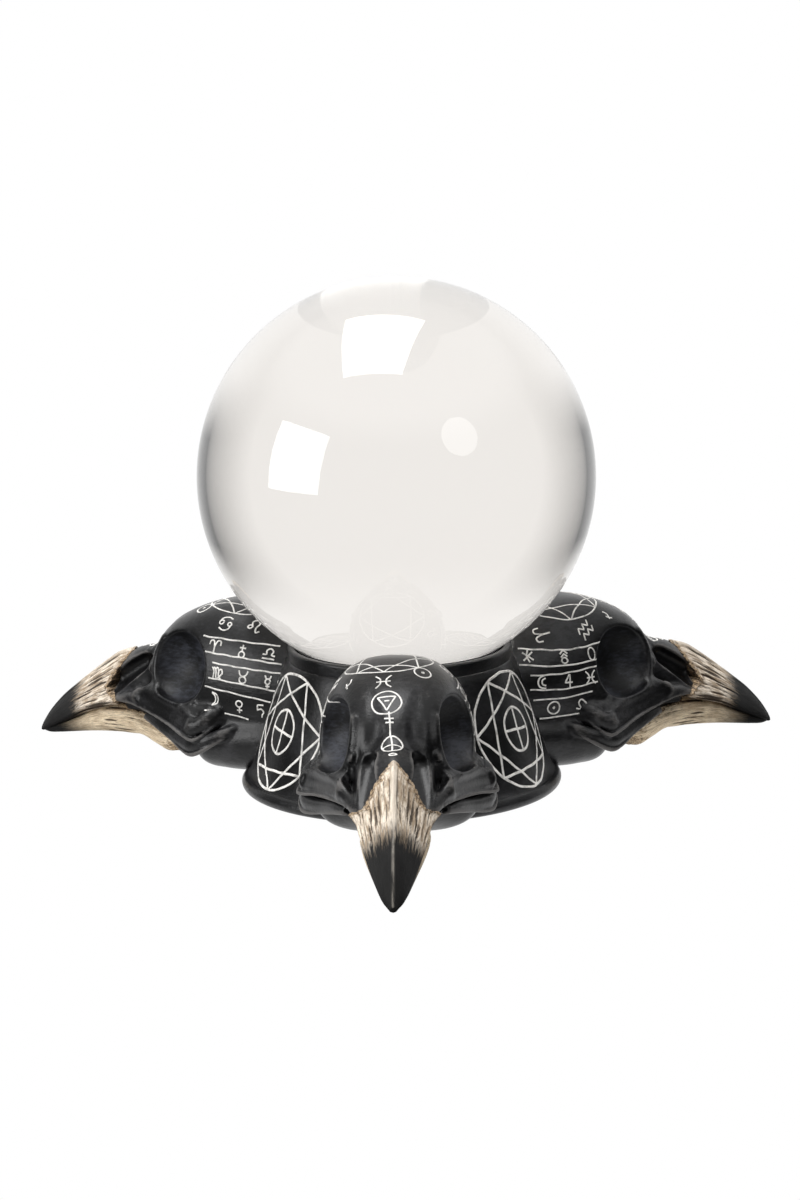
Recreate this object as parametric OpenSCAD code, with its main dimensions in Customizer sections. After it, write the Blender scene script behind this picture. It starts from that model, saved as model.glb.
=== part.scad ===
// Fortune teller's glass ball on a cast resin stand.
// The ball lies on a cushion ring in the cup of a tapered drum, and three bird skulls
// stand round the drum, beaks outwards. The origin is the centre of the underside,
// +Z is up, one skull faces -Y and the other two face 120 degrees to each side of it.

/* [Ball] */
// Diameter of the glass ball
ball_d = 110; // [108:0.5:111]
// Gap left between the ball and the cushion ring
ball_gap = 0.15; // [0.1:0.05:0.25]

/* [Drum] */
// Height of the drum's top edge
drum_top_z = 36.8; // [36:0.1:37.2]
// Radius of the drum's wall at its top edge
drum_top_r = 31.8; // [31.6:0.1:32.2]
// Radius of the drum's wall where it stands on the foot
drum_foot_r = 42.4; // [42:0.1:43]
// Radius of the bore in the cushion ring
cushion_bore_r = 24.8; // [24.6:0.1:25.4]
// Radius at which the ball would meet the collar's rim
seat_r = 28.6; // [28.4:0.1:28.8]
// Height of the collar above the drum's top edge
collar_h = 3.5; // [3.3:0.1:3.7]

/* [Foot] */
// Outside radius of the rounded foot ring
foot_r = 44.8; // [44.4:0.1:45.4]
// Height of the foot ring
foot_h = 4.2; // [4:0.1:4.4]
// Thickness of the felt under the drum
felt_t = 1; // [0.8:0.1:1.2]

/* [Skulls] */
// Distance from the drum's axis to the tip of a beak
beak_reach = 125.5; // [124:0.5:127]
// Half the width of a cranium at its widest
cranium_half_w = 20.6; // [20.2:0.1:21]
// Radius of the hollow that holds an eye
eye_r = 10.4; // [10:0.1:10.8]
// Radius of the nostril hollow
nostril_r = 5.2; // [4.8:0.1:5.4]

/* [Hidden] */
ball_r = ball_d / 2;
collar_top_z = drum_top_z + collar_h;
ball_z = collar_top_z + sqrt(ball_r * ball_r - seat_r * seat_r);
collar_bore_r = seat_r + 0.6;
collar_r = drum_top_r - 0.5;
cushion_r = seat_r + 0.4;
cushion_lift = 0.1;
cup_gap = 1;
felt_r = drum_foot_r - 1.1;
foot_edge = foot_h / 2;
skull_ball_gap = 0.5;
far = 200;

// Points round one ring of a loft, and rings put between two of its sections
ring_points = 24;
steps = 2;
bone_sides = 10;

SKULLS = [["front", -90], ["right", 30], ["left", 150]];
BONES = ["cranium", "upper_beak", "lower_beak", "jaw_left", "jaw_right", "cheek_left", "cheek_right"];
$fn = 96;

// Sections of a skull, front to the right: distance from the drum's axis, half width,
// lowest point, height of the widest point, highest point, and the sharpness of the
// sides, where 1 is an ellipse and more pinches them into a ridge.
beak_root = [beak_reach - 35.5, 9.8, 13.4, 16.8, 30.2, 1.3];
CRANIUM = [
    [30, 18.5, 6, 24, 43, 0.9],
    [38, cranium_half_w - 0.6, 3.5, 24, 45.6, 0.9],
    [46, cranium_half_w, 2.6, 24, 47.4, 0.9],
    [53, cranium_half_w - 0.2, 3, 24, 48.2, 0.9],
    [60, cranium_half_w - 1.2, 5.5, 23, 46.9, 0.95],
    [67, 17.6, 9.5, 21.5, 44.3, 1.1],
    [73, 16.2, 12.5, 20.5, 41.5, 1.5],
    [79, 14.4, 14, 20, 36.9, 1.7],
    [83, 12.4, 14, 19.5, 31.9, 1.4],
    beak_root
];
UPPER_BEAK = [
    beak_root,
    [beak_reach - 30.5, 8.9, 12, 15.4, 28.3, 1.35],
    [beak_reach - 25.5, 8.3, 10.6, 13.6, 25.2, 1.4],
    [beak_reach - 19.5, 6.9, 8.8, 11.2, 21.2, 1.4],
    [beak_reach - 13.5, 5.2, 5.9, 7.8, 16.7, 1.4],
    [beak_reach - 7.5, 3.7, 3.4, 4.8, 11.8, 1.35],
    [beak_reach - 3, 2.4, 1.7, 2.8, 6.9, 1.3],
    [beak_reach, 0.7, 0.9, 1.5, 2.4, 1]
];
LOWER_BEAK = [
    [beak_reach - 47.5, 7.2, 2.4, 7, 11.8, 0.9],
    [beak_reach - 41.5, 8.4, 4.2, 8.5, 12.8, 0.9],
    [beak_reach - 35.5, 8.8, 5.1, 8.8, 12.9, 0.9],
    [beak_reach - 29.5, 8.1, 4.8, 8, 11.5, 0.9],
    [beak_reach - 23.5, 7.2, 4.6, 7, 9.8, 0.9],
    [beak_reach - 17.5, 5.9, 4.2, 5.6, 7.1, 0.9],
    [beak_reach - 12.5, 4.2, 3.6, 4.4, 5.3, 0.9],
    [beak_reach - 7.4, 1.4, 2.6, 2.9, 3.1, 1]
];

// Centre line of a bar of bone on the left side, then its half thickness and half height
JAW = [
    [79, 5.8, 7.2, 2.2, 4.4], [72, 9.8, 7.2, 2, 4.2], [65, 14, 7, 1.9, 4], [59, 18.4, 7.2, 1.9, 3.8],
    [53.5, 22.6, 9.5, 1.9, 3.4], [48.5, 24.4, 13.5, 2.1, 2.6], [44, 22, 17.5, 2.3, 2.3], [40.5, 18.5, 19.5, 2.3, 2.3]
];
CHEEK = [
    [86, 9.6, 15.2, 1.8, 1.8], [79, 14.4, 18.5, 1.8, 1.9], [72, 17.6, 17.6, 1.5, 1.8],
    [64, 20.6, 15.8, 1.4, 1.6], [56, 23.2, 14.4, 1.5, 1.6], [50, 24, 13.5, 1.7, 1.7]
];
eye = [64.5, 18.6, 30];
nostril = [85.5, 10.6, 26.5];

// A value between b and c at t, on the curve through a, b, c and d
function between(a, b, c, d, t) =
    b + (c - a) * t / 2 + (2 * a - 5 * b + 4 * c - d) * t * t / 2 + (3 * b - a - 3 * c + d) * t * t * t / 2;

// The list with extra entries on a smooth curve between its own
function smoothed(list) =
    let (last = len(list) - 1)
    [for (k = [0:last], s = [0:(k < last ? steps - 1 : 0)])
        between(list[max(k - 1, 0)], list[k], list[min(k + 1, last)], list[min(k + 2, last)], s / steps)];

function section_ring(s) =
    [for (i = [0:ring_points - 1])
        let (c = cos(360 * i / ring_points), n = sin(360 * i / ring_points))
        [s[0], s[1] * sign(c) * pow(abs(c), s[5]), s[3] + (n > 0 ? s[4] - s[3] : s[3] - s[2]) * n]];

function unit(v) = v / norm(v);
function place(p) = [p[0], p[1], p[2]];

function bone_ring(path, k) =
    let (
        along = unit(place(path[min(k + 1, len(path) - 1)]) - place(path[max(k - 1, 0)])),
        side = unit(cross([0, 0, 1], along)),
        up = cross(along, side)
    )
    [for (i = [0:bone_sides - 1])
        let (a = 360 * i / bone_sides)
        place(path[k]) + path[k][3] * cos(a) * side + path[k][4] * sin(a) * up];

// Closed solid through rings of points that run round the same way
module skin(rings) {
    n = len(rings[0]);
    last = len(rings) - 1;
    sides = [for (k = [0:last - 1], i = [0:n - 1])
        [k * n + i, (k + 1) * n + i, (k + 1) * n + (i + 1) % n, k * n + (i + 1) % n]];
    ends = [[for (i = [0:n - 1]) i], [for (i = [n - 1:-1:0]) last * n + i]];
    polyhedron([for (r = rings) each r], concat(sides, ends), convexity = 6);
}

module loft(sections) skin([for (s = smoothed(sections)) section_ring(s)]);

module bone(path) {
    fine = smoothed(path);
    skin([for (k = [0:len(fine) - 1]) bone_ring(fine, k)]);
}

module both_sides() {
    children();
    mirror([0, 1, 0]) children();
}

// Outside of the foot, drum and collar together, which the skulls are fitted round
module stand_outline() {
    cylinder(h = foot_h, r = foot_r);
    translate([0, 0, foot_h]) cylinder(h = drum_top_z - foot_h, r1 = drum_foot_r, r2 = drum_top_r);
    translate([0, 0, drum_top_z]) cylinder(h = collar_h, r = collar_r);
}

module ball_space(gap) translate([0, 0, ball_z]) sphere(r = ball_r + gap);

module glass_ball() color([0.93, 0.92, 0.89, 0.4]) ball_space(0);

module cushion_ring() color("dimgray") difference() {
    translate([0, 0, drum_top_z + cushion_lift]) cylinder(h = collar_h + 2, r = cushion_r);
    cylinder(h = far, r = cushion_bore_r);
    ball_space(ball_gap);
}

module collar() color([0.12, 0.12, 0.13]) difference() {
    translate([0, 0, drum_top_z]) cylinder(h = collar_h, r = collar_r);
    cylinder(h = far, r = collar_bore_r);
}

module drum() color([0.14, 0.14, 0.15]) difference() {
    union() {
        translate([0, 0, felt_t]) cylinder(h = foot_h - felt_t, r = felt_r);
        translate([0, 0, foot_h]) cylinder(h = drum_top_z - foot_h, r1 = drum_foot_r, r2 = drum_top_r);
    }
    ball_space(cup_gap);
}

module foot_ring() color([0.1, 0.1, 0.11]) rotate_extrude() difference() {
    union() {
        translate([foot_r - foot_edge, foot_edge]) circle(r = foot_edge);
        translate([felt_r, 0]) square([foot_r - foot_edge - felt_r, foot_h]);
    }
    square([felt_r, foot_h]);
}

module base_felt() color([0.2, 0.2, 0.22]) cylinder(h = felt_t, r = felt_r);

module cranium() color([0.16, 0.16, 0.18]) difference() {
    loft(CRANIUM);
    stand_outline();
    ball_space(skull_ball_gap);
    both_sides() {
        translate(eye) sphere(r = eye_r);
        translate(nostril) sphere(r = nostril_r);
    }
}

module upper_beak() color([0.78, 0.7, 0.58]) loft(UPPER_BEAK);

module lower_beak() color([0.6, 0.54, 0.45]) loft(LOWER_BEAK);

module jaw_left() color([0.18, 0.18, 0.2]) bone(JAW);

module cheek_left() color([0.22, 0.22, 0.25]) bone(CHEEK);

module skull_bone(name) {
    if (name == "cranium") cranium();
    if (name == "upper_beak") upper_beak();
    if (name == "lower_beak") lower_beak();
    if (name == "jaw_left") jaw_left();
    if (name == "jaw_right") mirror([0, 1, 0]) jaw_left();
    if (name == "cheek_left") cheek_left();
    if (name == "cheek_right") mirror([0, 1, 0]) cheek_left();
}

glass_ball();
cushion_ring();
collar();
drum();
foot_ring();
base_felt();
for (skull = SKULLS, name = BONES)
    rotate([0, 0, skull[1]]) skull_bone(name);
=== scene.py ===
# %% [markdown]
# # A glass ball on a stand of bird skulls
# The finished object is a heavy clear ball that lies loose in the cup of a small black stand. The stand is
# cast resin: a tapered drum, and three crow-like skulls that lean on it with their beaks out over the table.
# The packed model gives the real sizes, the joints and a plain solid for every piece. This lesson gives each
# piece its real surface. Bones are sculpted as distance fields, turned parts are lathed, and the painted
# signs are strokes that Geometry Nodes lay on the surface.

import math

import bmesh
import bpy
import numpy as np
import openvdb
from mathutils import Matrix, Vector
from mathutils.bvhtree import BVHTree


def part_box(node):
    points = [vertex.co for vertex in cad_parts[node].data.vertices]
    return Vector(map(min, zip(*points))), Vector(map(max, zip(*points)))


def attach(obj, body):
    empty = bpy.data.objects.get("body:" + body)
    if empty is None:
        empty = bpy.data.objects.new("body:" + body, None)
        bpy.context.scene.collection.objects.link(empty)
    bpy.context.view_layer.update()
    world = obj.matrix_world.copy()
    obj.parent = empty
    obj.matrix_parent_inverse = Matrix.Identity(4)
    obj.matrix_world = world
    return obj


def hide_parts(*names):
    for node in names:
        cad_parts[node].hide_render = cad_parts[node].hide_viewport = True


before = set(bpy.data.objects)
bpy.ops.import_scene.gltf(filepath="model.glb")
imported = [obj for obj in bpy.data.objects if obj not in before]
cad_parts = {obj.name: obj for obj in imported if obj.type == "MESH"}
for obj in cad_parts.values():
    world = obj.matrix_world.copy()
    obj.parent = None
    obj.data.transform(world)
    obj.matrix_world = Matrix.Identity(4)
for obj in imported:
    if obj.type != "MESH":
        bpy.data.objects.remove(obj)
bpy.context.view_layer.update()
MM = 0.001
print("pieces in the frame:", len(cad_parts))

# %% [markdown]
# ## Places that everything else is measured from
# The ball's centre and radius, the beaks' reach and the drum's cone come from the packed nodes, so the looks
# follow the design if it is made again a little larger. Sculpting is done in millimetres, in one skull's own
# frame: x runs out along the beak from the drum's axis, y to the skull's left, and z up.

# %% Read the sizes
ball_low, ball_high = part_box("glass_ball")
ball_centre = (ball_low + ball_high) / 2
BALL_R = (ball_high.z - ball_low.z) / 2 / MM
BALL_Z = ball_centre.z / MM
REACH = -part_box("front_skull_upper_beak")[0].y / MM
DRUM_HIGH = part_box("drum")[1]
DRUM_TOP = DRUM_HIGH.z / MM
COLLAR_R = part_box("collar")[1].x / MM
COLLAR_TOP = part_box("collar")[1].z / MM
FOOT_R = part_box("foot_ring")[1].x / MM
FOOT_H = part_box("foot_ring")[1].z / MM
CONE_R = DRUM_HIGH.x / MM
CONE_TAPER = 0.325
COVE_DEPTH = 0.7
COVE_HEIGHT = 1.1
SKULL_TURNS = {"front": -90, "right": 30, "left": 150}
print(f"ball radius {BALL_R:.1f} mm, centre {BALL_Z:.1f} mm up, beaks reach {REACH:.1f} mm")


def cone_radius(z):
    """Radius of the drum's wall at height z, with the cove that sweeps out to the foot."""
    return CONE_R - CONE_TAPER * (z - FOOT_H) + COVE_DEPTH * np.exp(-(z - FOOT_H) / COVE_HEIGHT)


# %% [markdown]
# ## Camera
# A long lens a little under a metre away, looking slightly down, keeps the ball round and lets both side
# skulls show in profile. The colours are shown as they are, with the Standard view, because the object is
# plain black, ivory and white.

# %% Place the camera
CAMERA_HEADING = math.radians(1.19)
CAMERA_TILT = math.radians(11.955)
CAMERA_ROLL = math.radians(-1.003)
CAMERA_PLACE = Vector((0.0004, -0.906, 0.2444))
scene = bpy.context.scene
scene.view_settings.view_transform = "Standard"

camera_data = bpy.data.cameras.new("camera")
camera_data.sensor_fit = "VERTICAL"
camera_data.sensor_height = 36
camera_data.lens = 100
camera = bpy.data.objects.new("camera", camera_data)
turn = Matrix.Rotation(CAMERA_HEADING, 4, "Z")
camera.matrix_world = (
    Matrix.Translation(turn @ CAMERA_PLACE)
    @ turn
    @ Matrix.Rotation(math.pi / 2 - CAMERA_TILT, 4, "X")
    @ Matrix.Rotation(CAMERA_ROLL, 4, "Z")
)
scene.collection.objects.link(camera)
scene.camera = camera
print(f"camera {-CAMERA_PLACE.y:.2f} m away, looking down {math.degrees(CAMERA_TILT):.1f} degrees")

# %% [markdown]
# ## Lamps
# One large soft box hangs overhead and another stands at the left, which gives the ball its two window-like
# reflections, and a small round lamp on the right adds a soft glare. All of them face the ball's centre, so
# one function places them by direction and distance.

# %% Hang the lamps
def lamp(name, direction, distance, power, size, shape="RECTANGLE"):
    """A soft box that faces the ball from the given direction."""
    data = bpy.data.lights.new(name, "AREA")
    data.energy = power
    data.shape = shape
    data.size, data.size_y = size
    made = bpy.data.objects.new(name, data)
    away = Vector(direction).normalized()
    made.location = ball_centre + away * distance
    made.rotation_euler = away.to_track_quat("Z", "Y").to_euler()
    scene.collection.objects.link(made)


lamp("overhead_box", (-0.12, 0.02, 0.99), 0.85, 6.4, (0.68, 0.46))
lamp("left_box", (-0.83, -0.51, 0.25), 0.95, 5.6, (0.56, 0.54))
lamp("round_glare", (0.58, -0.66, 0.47), 1.0, 0.8, (0.36, 0.36), "DISK")

# %% [markdown]
# ## A white tent round the object
# Satin black paint mirrors whatever stands round it. So the tent is white behind the object, above it and
# below it, which draws a thin bright line along every edge, and dim at the sides and in front, which keeps
# the paint black. The eye sees plain white on every side, straight on or through the glass. The rule takes
# a direction and gives a brightness, and it lights the sky here and the floor at the end.

# %% Light the tent
DIM = 0.03


def backlight(tree, direction):
    """White behind the object, above and below it, and dim elsewhere; the eye sees only white."""
    def add(kind, settings, *values):
        node = tree.nodes.new(kind)
        for key, value in settings.items():
            setattr(node, key, value)
        for socket, value in zip(node.inputs, values):
            if isinstance(value, (int, float)):
                socket.default_value = value
            else:
                tree.links.new(value, socket)
        return node

    smooth = {"interpolation_type": "SMOOTHSTEP"}
    parts = add("ShaderNodeSeparateXYZ", {}, direction)
    height = add("ShaderNodeMath", {"operation": "ABSOLUTE"}, parts.outputs["Z"])
    behind = add("ShaderNodeMapRange", smooth, parts.outputs["Y"], 0.2, 0.84, DIM, 1.0)
    above = add("ShaderNodeMapRange", smooth, height.outputs[0], 0.4, 0.75, DIM, 1.0)
    seen = add("ShaderNodeLightPath", {})
    larger = {"operation": "MAXIMUM"}
    white = add("ShaderNodeMath", larger, behind.outputs[0], above.outputs[0])
    through = seen.outputs["Is Transmission Ray"]
    backdrop = add("ShaderNodeMath", larger, seen.outputs["Is Camera Ray"], through)
    return add("ShaderNodeMath", larger, white.outputs[0], backdrop.outputs[0]).outputs[0]


world = bpy.data.worlds.new("studio")
world.use_nodes = True
sky_place = world.node_tree.nodes.new("ShaderNodeTexCoord")
sky = backlight(world.node_tree, sky_place.outputs["Generated"])
world.node_tree.links.new(sky, world.node_tree.nodes["Background"].inputs["Color"])
scene.world = world
print("nodes in the sky:", len(world.node_tree.nodes))

# %% [markdown]
# ## A small language for shaders
# A material here is a formula: how dark the paint is in a groove, how much grey sits on a ridge. Written as
# Python expressions such formulas are easy to read, so one small class wraps a socket and turns each operator
# into the Math node that does it.

# %% Wrap sockets
class Wire:
    """A socket that can be used in arithmetic."""

    def __init__(self, shader, socket):
        self.shader, self.socket = shader, socket

    def _math(self, operation, first, second=None):
        values = [first] if second is None else [first, second]
        return self.shader.add("ShaderNodeMath", {"operation": operation}, values)

    def __add__(self, other):
        return self._math("ADD", self, other)

    def __radd__(self, other):
        return self._math("ADD", other, self)

    def __sub__(self, other):
        return self._math("SUBTRACT", self, other)

    def __rsub__(self, other):
        return self._math("SUBTRACT", other, self)

    def __mul__(self, other):
        return self._math("MULTIPLY", self, other)

    def __rmul__(self, other):
        return self._math("MULTIPLY", other, self)

    def size(self):
        """The value without its sign."""
        return self._math("ABSOLUTE", self)


print("a socket takes:", [name for name in vars(Wire) if name.endswith(("add__", "sub__", "mul__"))])

# %% [markdown]
# The second class holds one material. A single method adds any node: its settings come first, such as a
# Math node's operation, then the values or links of its sockets, by place or by name. The short methods
# below it are the few nodes that this object's paints use again and again.

# %% Hold a material
class Shader:
    """A material's node tree, with one method for any node."""

    def __init__(self, name):
        self.material = bpy.data.materials.new(name)
        self.material.use_nodes = True
        self.tree = self.material.node_tree
        self.surface = self.tree.nodes["Principled BSDF"]

    def add(self, kind, settings=None, values=(), output=0, **named):
        """Adds a node, sets it up, and links or sets its inputs by place and by name."""
        node = self.tree.nodes.new(kind)
        for key, value in (settings or {}).items():
            setattr(node, key, value)
        for place, value in [*enumerate(values), *named.items()]:
            key = place.replace("_", " ") if isinstance(place, str) else place
            self.put(node.inputs[key], value)
        return Wire(self, node.outputs[output])

    def put(self, socket, value):
        if isinstance(value, Wire):
            self.tree.links.new(value.socket, socket)
        elif isinstance(value, tuple) and len(value) == 3 and socket.type == "RGBA":
            socket.default_value = (*value, 1)
        else:
            socket.default_value = value

    def set(self, **named):
        for key, value in named.items():
            self.put(self.surface.inputs[key.replace("_", " ")], value)

    def attribute(self, name, output="Fac"):
        return self.add("ShaderNodeAttribute", {"attribute_name": name}, output=output)

    def object_place(self):
        return self.add("ShaderNodeTexCoord", output="Object")

    def noise(self, place, scale, detail=4.0, roughness=0.55):
        return self.add("ShaderNodeTexNoise", output="Fac", Vector=place, Scale=scale, Detail=detail,
                        Roughness=roughness)

    def stretched(self, place, scale):
        return self.add("ShaderNodeMapping", {}, (place,), Scale=scale)

    def blend(self, factor, first, second):
        node = self.tree.nodes.new("ShaderNodeMix")
        node.data_type = "RGBA"
        self.put(node.inputs["Factor"], factor)
        self.put(node.inputs[6], first)
        self.put(node.inputs[7], second)
        return Wire(self, node.outputs[2])

    def between(self, value, low, high):
        """0 below low, 1 above high, and smooth from one to the other."""
        smooth = {"interpolation_type": "SMOOTHSTEP"}
        return self.add("ShaderNodeMapRange", smooth, (value, low, high, 0.0, 1.0))

    def bump(self, height, strength, distance):
        return self.add("ShaderNodeBump", Strength=strength, Distance=distance, Height=height)


print("short methods:", [name for name in vars(Shader) if not name.startswith("_")])

# %% [markdown]
# ## Black resin paint
# Figures like this are sprayed satin black and then dry-brushed: a nearly dry brush of blue-grey paint is
# dragged over them, so that it catches on every ridge and leaves the hollows black. Each sculpted piece
# carries an attribute that says how far a point stands proud of its neighbourhood, and on the skulls the same
# attribute also holds a painted highlight, a spot of lighter grey on the brow. Another attribute, socket,
# marks the eye hollows, where more of the blue-grey was put on. Noise stretched into short strokes breaks the
# grey up as bristles do.

# %% Make the black paint
BLACK = (0.0025, 0.0025, 0.0026)
SOFT_BLACK = (0.0065, 0.0065, 0.007)
DUST = (0.082, 0.082, 0.090)
DRY_BRUSH_AND_HIGHLIGHT = (0.19, 0.18, 0.172)
SLATE = (0.085, 0.092, 0.118)


def black_resin(name, grey_amount):
    """Satin black paint with blue-grey dragged over its high spots, and lighter grey as a painted highlight.
    """
    s = Shader(name)
    place = s.object_place()
    bristle = s.noise(s.stretched(place, (1.0, 1.0, 2.6)), 520.0, 5.0, 0.7)
    patch = s.noise(place, 75.0, 3.0)
    grain = s.noise(place, 1500.0, 2.0)
    raised = s.attribute("raised")
    socket = s.attribute("socket")
    # painted highlight: on the skulls this mask also lays lighter grey on the brow, as a painted highlight
    dry_brush_and_highlight = s.between(raised + (bristle - 0.5) * 1.3 + (patch - 0.5) * 0.9, 0.7, 1.5)
    misted = s.between(patch + (bristle - 0.5) * 0.8, 0.46, 0.72)
    hollow = socket * s.between(bristle * 0.4 + patch * 0.6, 0.40, 0.62)
    base = s.blend(patch, BLACK, SOFT_BLACK)
    dusty = s.blend(misted * 0.2 * grey_amount, base, DUST)
    rubbed_and_highlit = s.blend(dry_brush_and_highlight * 0.5 * grey_amount, dusty, DRY_BRUSH_AND_HIGHLIGHT)
    shown = s.blend(hollow * 0.5, rubbed_and_highlit, SLATE)
    relief = bristle * 0.6 + grain * 0.4
    gloss = 0.22 + 0.16 * patch + 0.2 * dry_brush_and_highlight + 0.22 * socket
    s.set(Base_Color=shown, Roughness=gloss, Specular_IOR_Level=0.34, Normal=s.bump(relief, 0.35, 0.0004))
    return s.material


bone_paint = black_resin("bone_paint", 1.0)
drum_paint = black_resin("drum_paint", 0.8)
print("paints:", bone_paint.name, drum_paint.name)

# %% [markdown]
# ## Horn of the beaks
# The beaks are ivory with a brown wash that has settled in long slits, and the tips are sprayed black. The
# beak meshes carry where each point lies along the beak, how deep in a slit it is, and how near the ragged
# rim, so the same formula paints all six beaks.

# %% Make the horn
HAIRLINE_BROWN = (0.17, 0.115, 0.075)
SLIT_BROWN = (0.030, 0.020, 0.014)
RIM_DARK = (0.04, 0.02, 0.010)
RIM_TAN = (0.42, 0.30, 0.18)
PALE_CREST = (0.66, 0.60, 0.52)
TIP_BLACK = (0.008, 0.008, 0.008)
TIP_GREY = (0.022, 0.0215, 0.021)
KEEL_CREAM = (0.5, 0.46, 0.40)


def horn(name, black_from, black_to, ivory, tan):
    """Ivory horn: along is 0 at the root and 1 at the tip, and streak runs with the grain."""
    s = Shader(name)
    grain_place = s.attribute("grain", "Vector")
    along = s.attribute("along")
    slit = s.attribute("slit")
    rim = s.attribute("rim")
    keel = s.attribute("keel")
    crest = s.attribute("crest")
    streak = s.noise(s.stretched(grain_place, (0.10, 1.0, 1.0)), 1.9, 4.0, 0.6)
    fine = s.noise(s.stretched(grain_place, (0.10, 1.0, 1.0)), 5.5, 3.0, 0.65)
    cloud = s.noise(grain_place, 0.22, 3.0)
    tone = s.blend(s.between(streak + (cloud - 0.5) * 0.5, 0.36, 0.64), tan, ivory)
    lined = s.blend(s.between(fine, 0.52, 0.66) * (1 - 0.75 * crest) * 0.75, tone, HAIRLINE_BROWN)
    washed = s.blend(s.between(slit + (fine - 0.5) * 0.5, 0.14, 0.5) * 0.9, lined, SLIT_BROWN)
    mottle = s.noise(grain_place, 0.9, 3.0, 0.6)
    speck = s.noise(grain_place, 2.2, 3.0, 0.6)
    browned = s.blend(s.between(rim + (mottle - 0.5) * 1.4, 0.38, 0.7) * 0.85, washed,
                      s.blend(s.between(speck, 0.42, 0.58), RIM_DARK, RIM_TAN))
    # paler along the top ridge of the upper beak
    pale = s.blend(crest * 0.55, browned, PALE_CREST)
    black = s.between(along + (streak - 0.5) * 0.34 + (fine - 0.5) * 0.2, black_from, black_to)
    tipped = s.blend(black, pale, s.blend(cloud, TIP_BLACK, TIP_GREY))
    ridged = s.blend(keel * s.between(cloud + fine * 0.5, 0.55, 0.85) * black * 0.6, tipped, KEEL_CREAM)
    relief = fine * 0.6 + streak * 0.4
    s.set(Base_Color=ridged, Roughness=0.6 - 0.1 * black, Specular_IOR_Level=0.1,
          Normal=s.bump(relief, 0.4, 0.0004))
    return s.material


upper_horn = horn("upper_horn", 0.50, 0.66, (0.83, 0.735, 0.615), (0.38, 0.295, 0.21))
lower_horn = horn("lower_horn", 0.42, 0.84, (0.96, 0.81, 0.59), (0.58, 0.45, 0.30))
print("horn:", upper_horn.name, lower_horn.name)

# %% [markdown]
# ## Distance fields
# A skull has no flat faces and no edges that one could extrude, and its parts melt into one another, so it is
# sculpted as a distance field: an array of numbers that is negative inside the bone and positive outside.
# Two shapes join by taking the smaller number, a hollow is cut by taking the larger, and a smooth minimum
# leaves a fillet between them, as clay does. The skull is the same on both sides, so only the left half is
# worked out and then mirrored.

# %% Sample points, joining and cutting
class Block:
    """A box of sample points on the left half of a skull."""

    def __init__(self, low, high, voxel):
        self.low, self.voxel = np.array(low, float), voxel
        axes = [np.arange(a, b + voxel, voxel, dtype=np.float32) for a, b in zip(low, high)]
        self.x, self.y, self.z = np.meshgrid(*axes, indexing="ij", sparse=True)


def join(a, b, soft):
    """Either shape, with a fillet of about the size soft between them."""
    h = np.clip(0.5 + 0.5 * (b - a) / soft, 0, 1)
    return b + (a - b) * h - soft * h * (1 - h)


def cut(a, b, soft):
    """The first shape without the second."""
    return -join(-a, b, soft)


print("two shapes that touch, joined over 2 mm, gain", -join(0.0, 0.0, 2.0), "mm")

# %% [markdown]
# Two kinds of shape make nearly all of the bone. A loft runs a rounded section along the skull, through a
# few stations that say how wide and how high it is there, and it suits the brain case, the throat and the
# beaks. A bar follows a bent line and is as thick as its points say, and it suits the cheek bones, the rims
# and the grooves. Both run on smooth curves, so a few points are enough.

# %% Lofts and bars
def along_curve(x, stations, values):
    """A smooth curve through the values at the stations."""
    s, v = np.asarray(stations, float), np.asarray(values, float)
    slope = np.gradient(v, s)
    i = np.clip(np.searchsorted(s, x) - 1, 0, len(s) - 2)
    span = s[i + 1] - s[i]
    t = np.clip((x - s[i]) / span, 0, 1)
    return (
        (2 * t**3 - 3 * t**2 + 1) * v[i]
        + (t**3 - 2 * t**2 + t) * span * slope[i]
        + (3 * t**2 - 2 * t**3) * v[i + 1]
        + (t**3 - t**2) * span * slope[i + 1]
    )


def lofted(block, sections):
    """A solid through sections of [x, half width, lowest, widest at, highest, side power, roof power]."""
    s = np.array(sections, float).T
    x = block.x
    w, low, mid, high, side, roof = (along_curve(x, s[0], row).astype(np.float32) for row in s[1:])
    above = np.maximum((block.z - mid) / (high - mid), 0) ** roof
    below = np.maximum((mid - block.z) / (mid - low), 0) ** 2
    f = (np.abs(block.y) / w + 1e-4) ** side + above + below - 1
    steep = np.sqrt(sum(g**2 for g in np.gradient(f, block.voxel)))
    d = f / np.maximum(steep, 0.02)
    return np.maximum(d, np.maximum(s[0][0] - x, x - s[0][-1]))


def smooth_path(path, steps=5):
    """The path with more points, on a smooth curve through the given ones."""
    path = np.array(path, float)
    length = np.r_[0, np.cumsum(np.linalg.norm(np.diff(path[:, :3], axis=0), axis=1))]
    at = np.interp(np.linspace(0, len(path) - 1, (len(path) - 1) * steps + 1), range(len(path)), length)
    return np.stack([along_curve(at, length, column) for column in path.T], axis=1)


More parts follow.
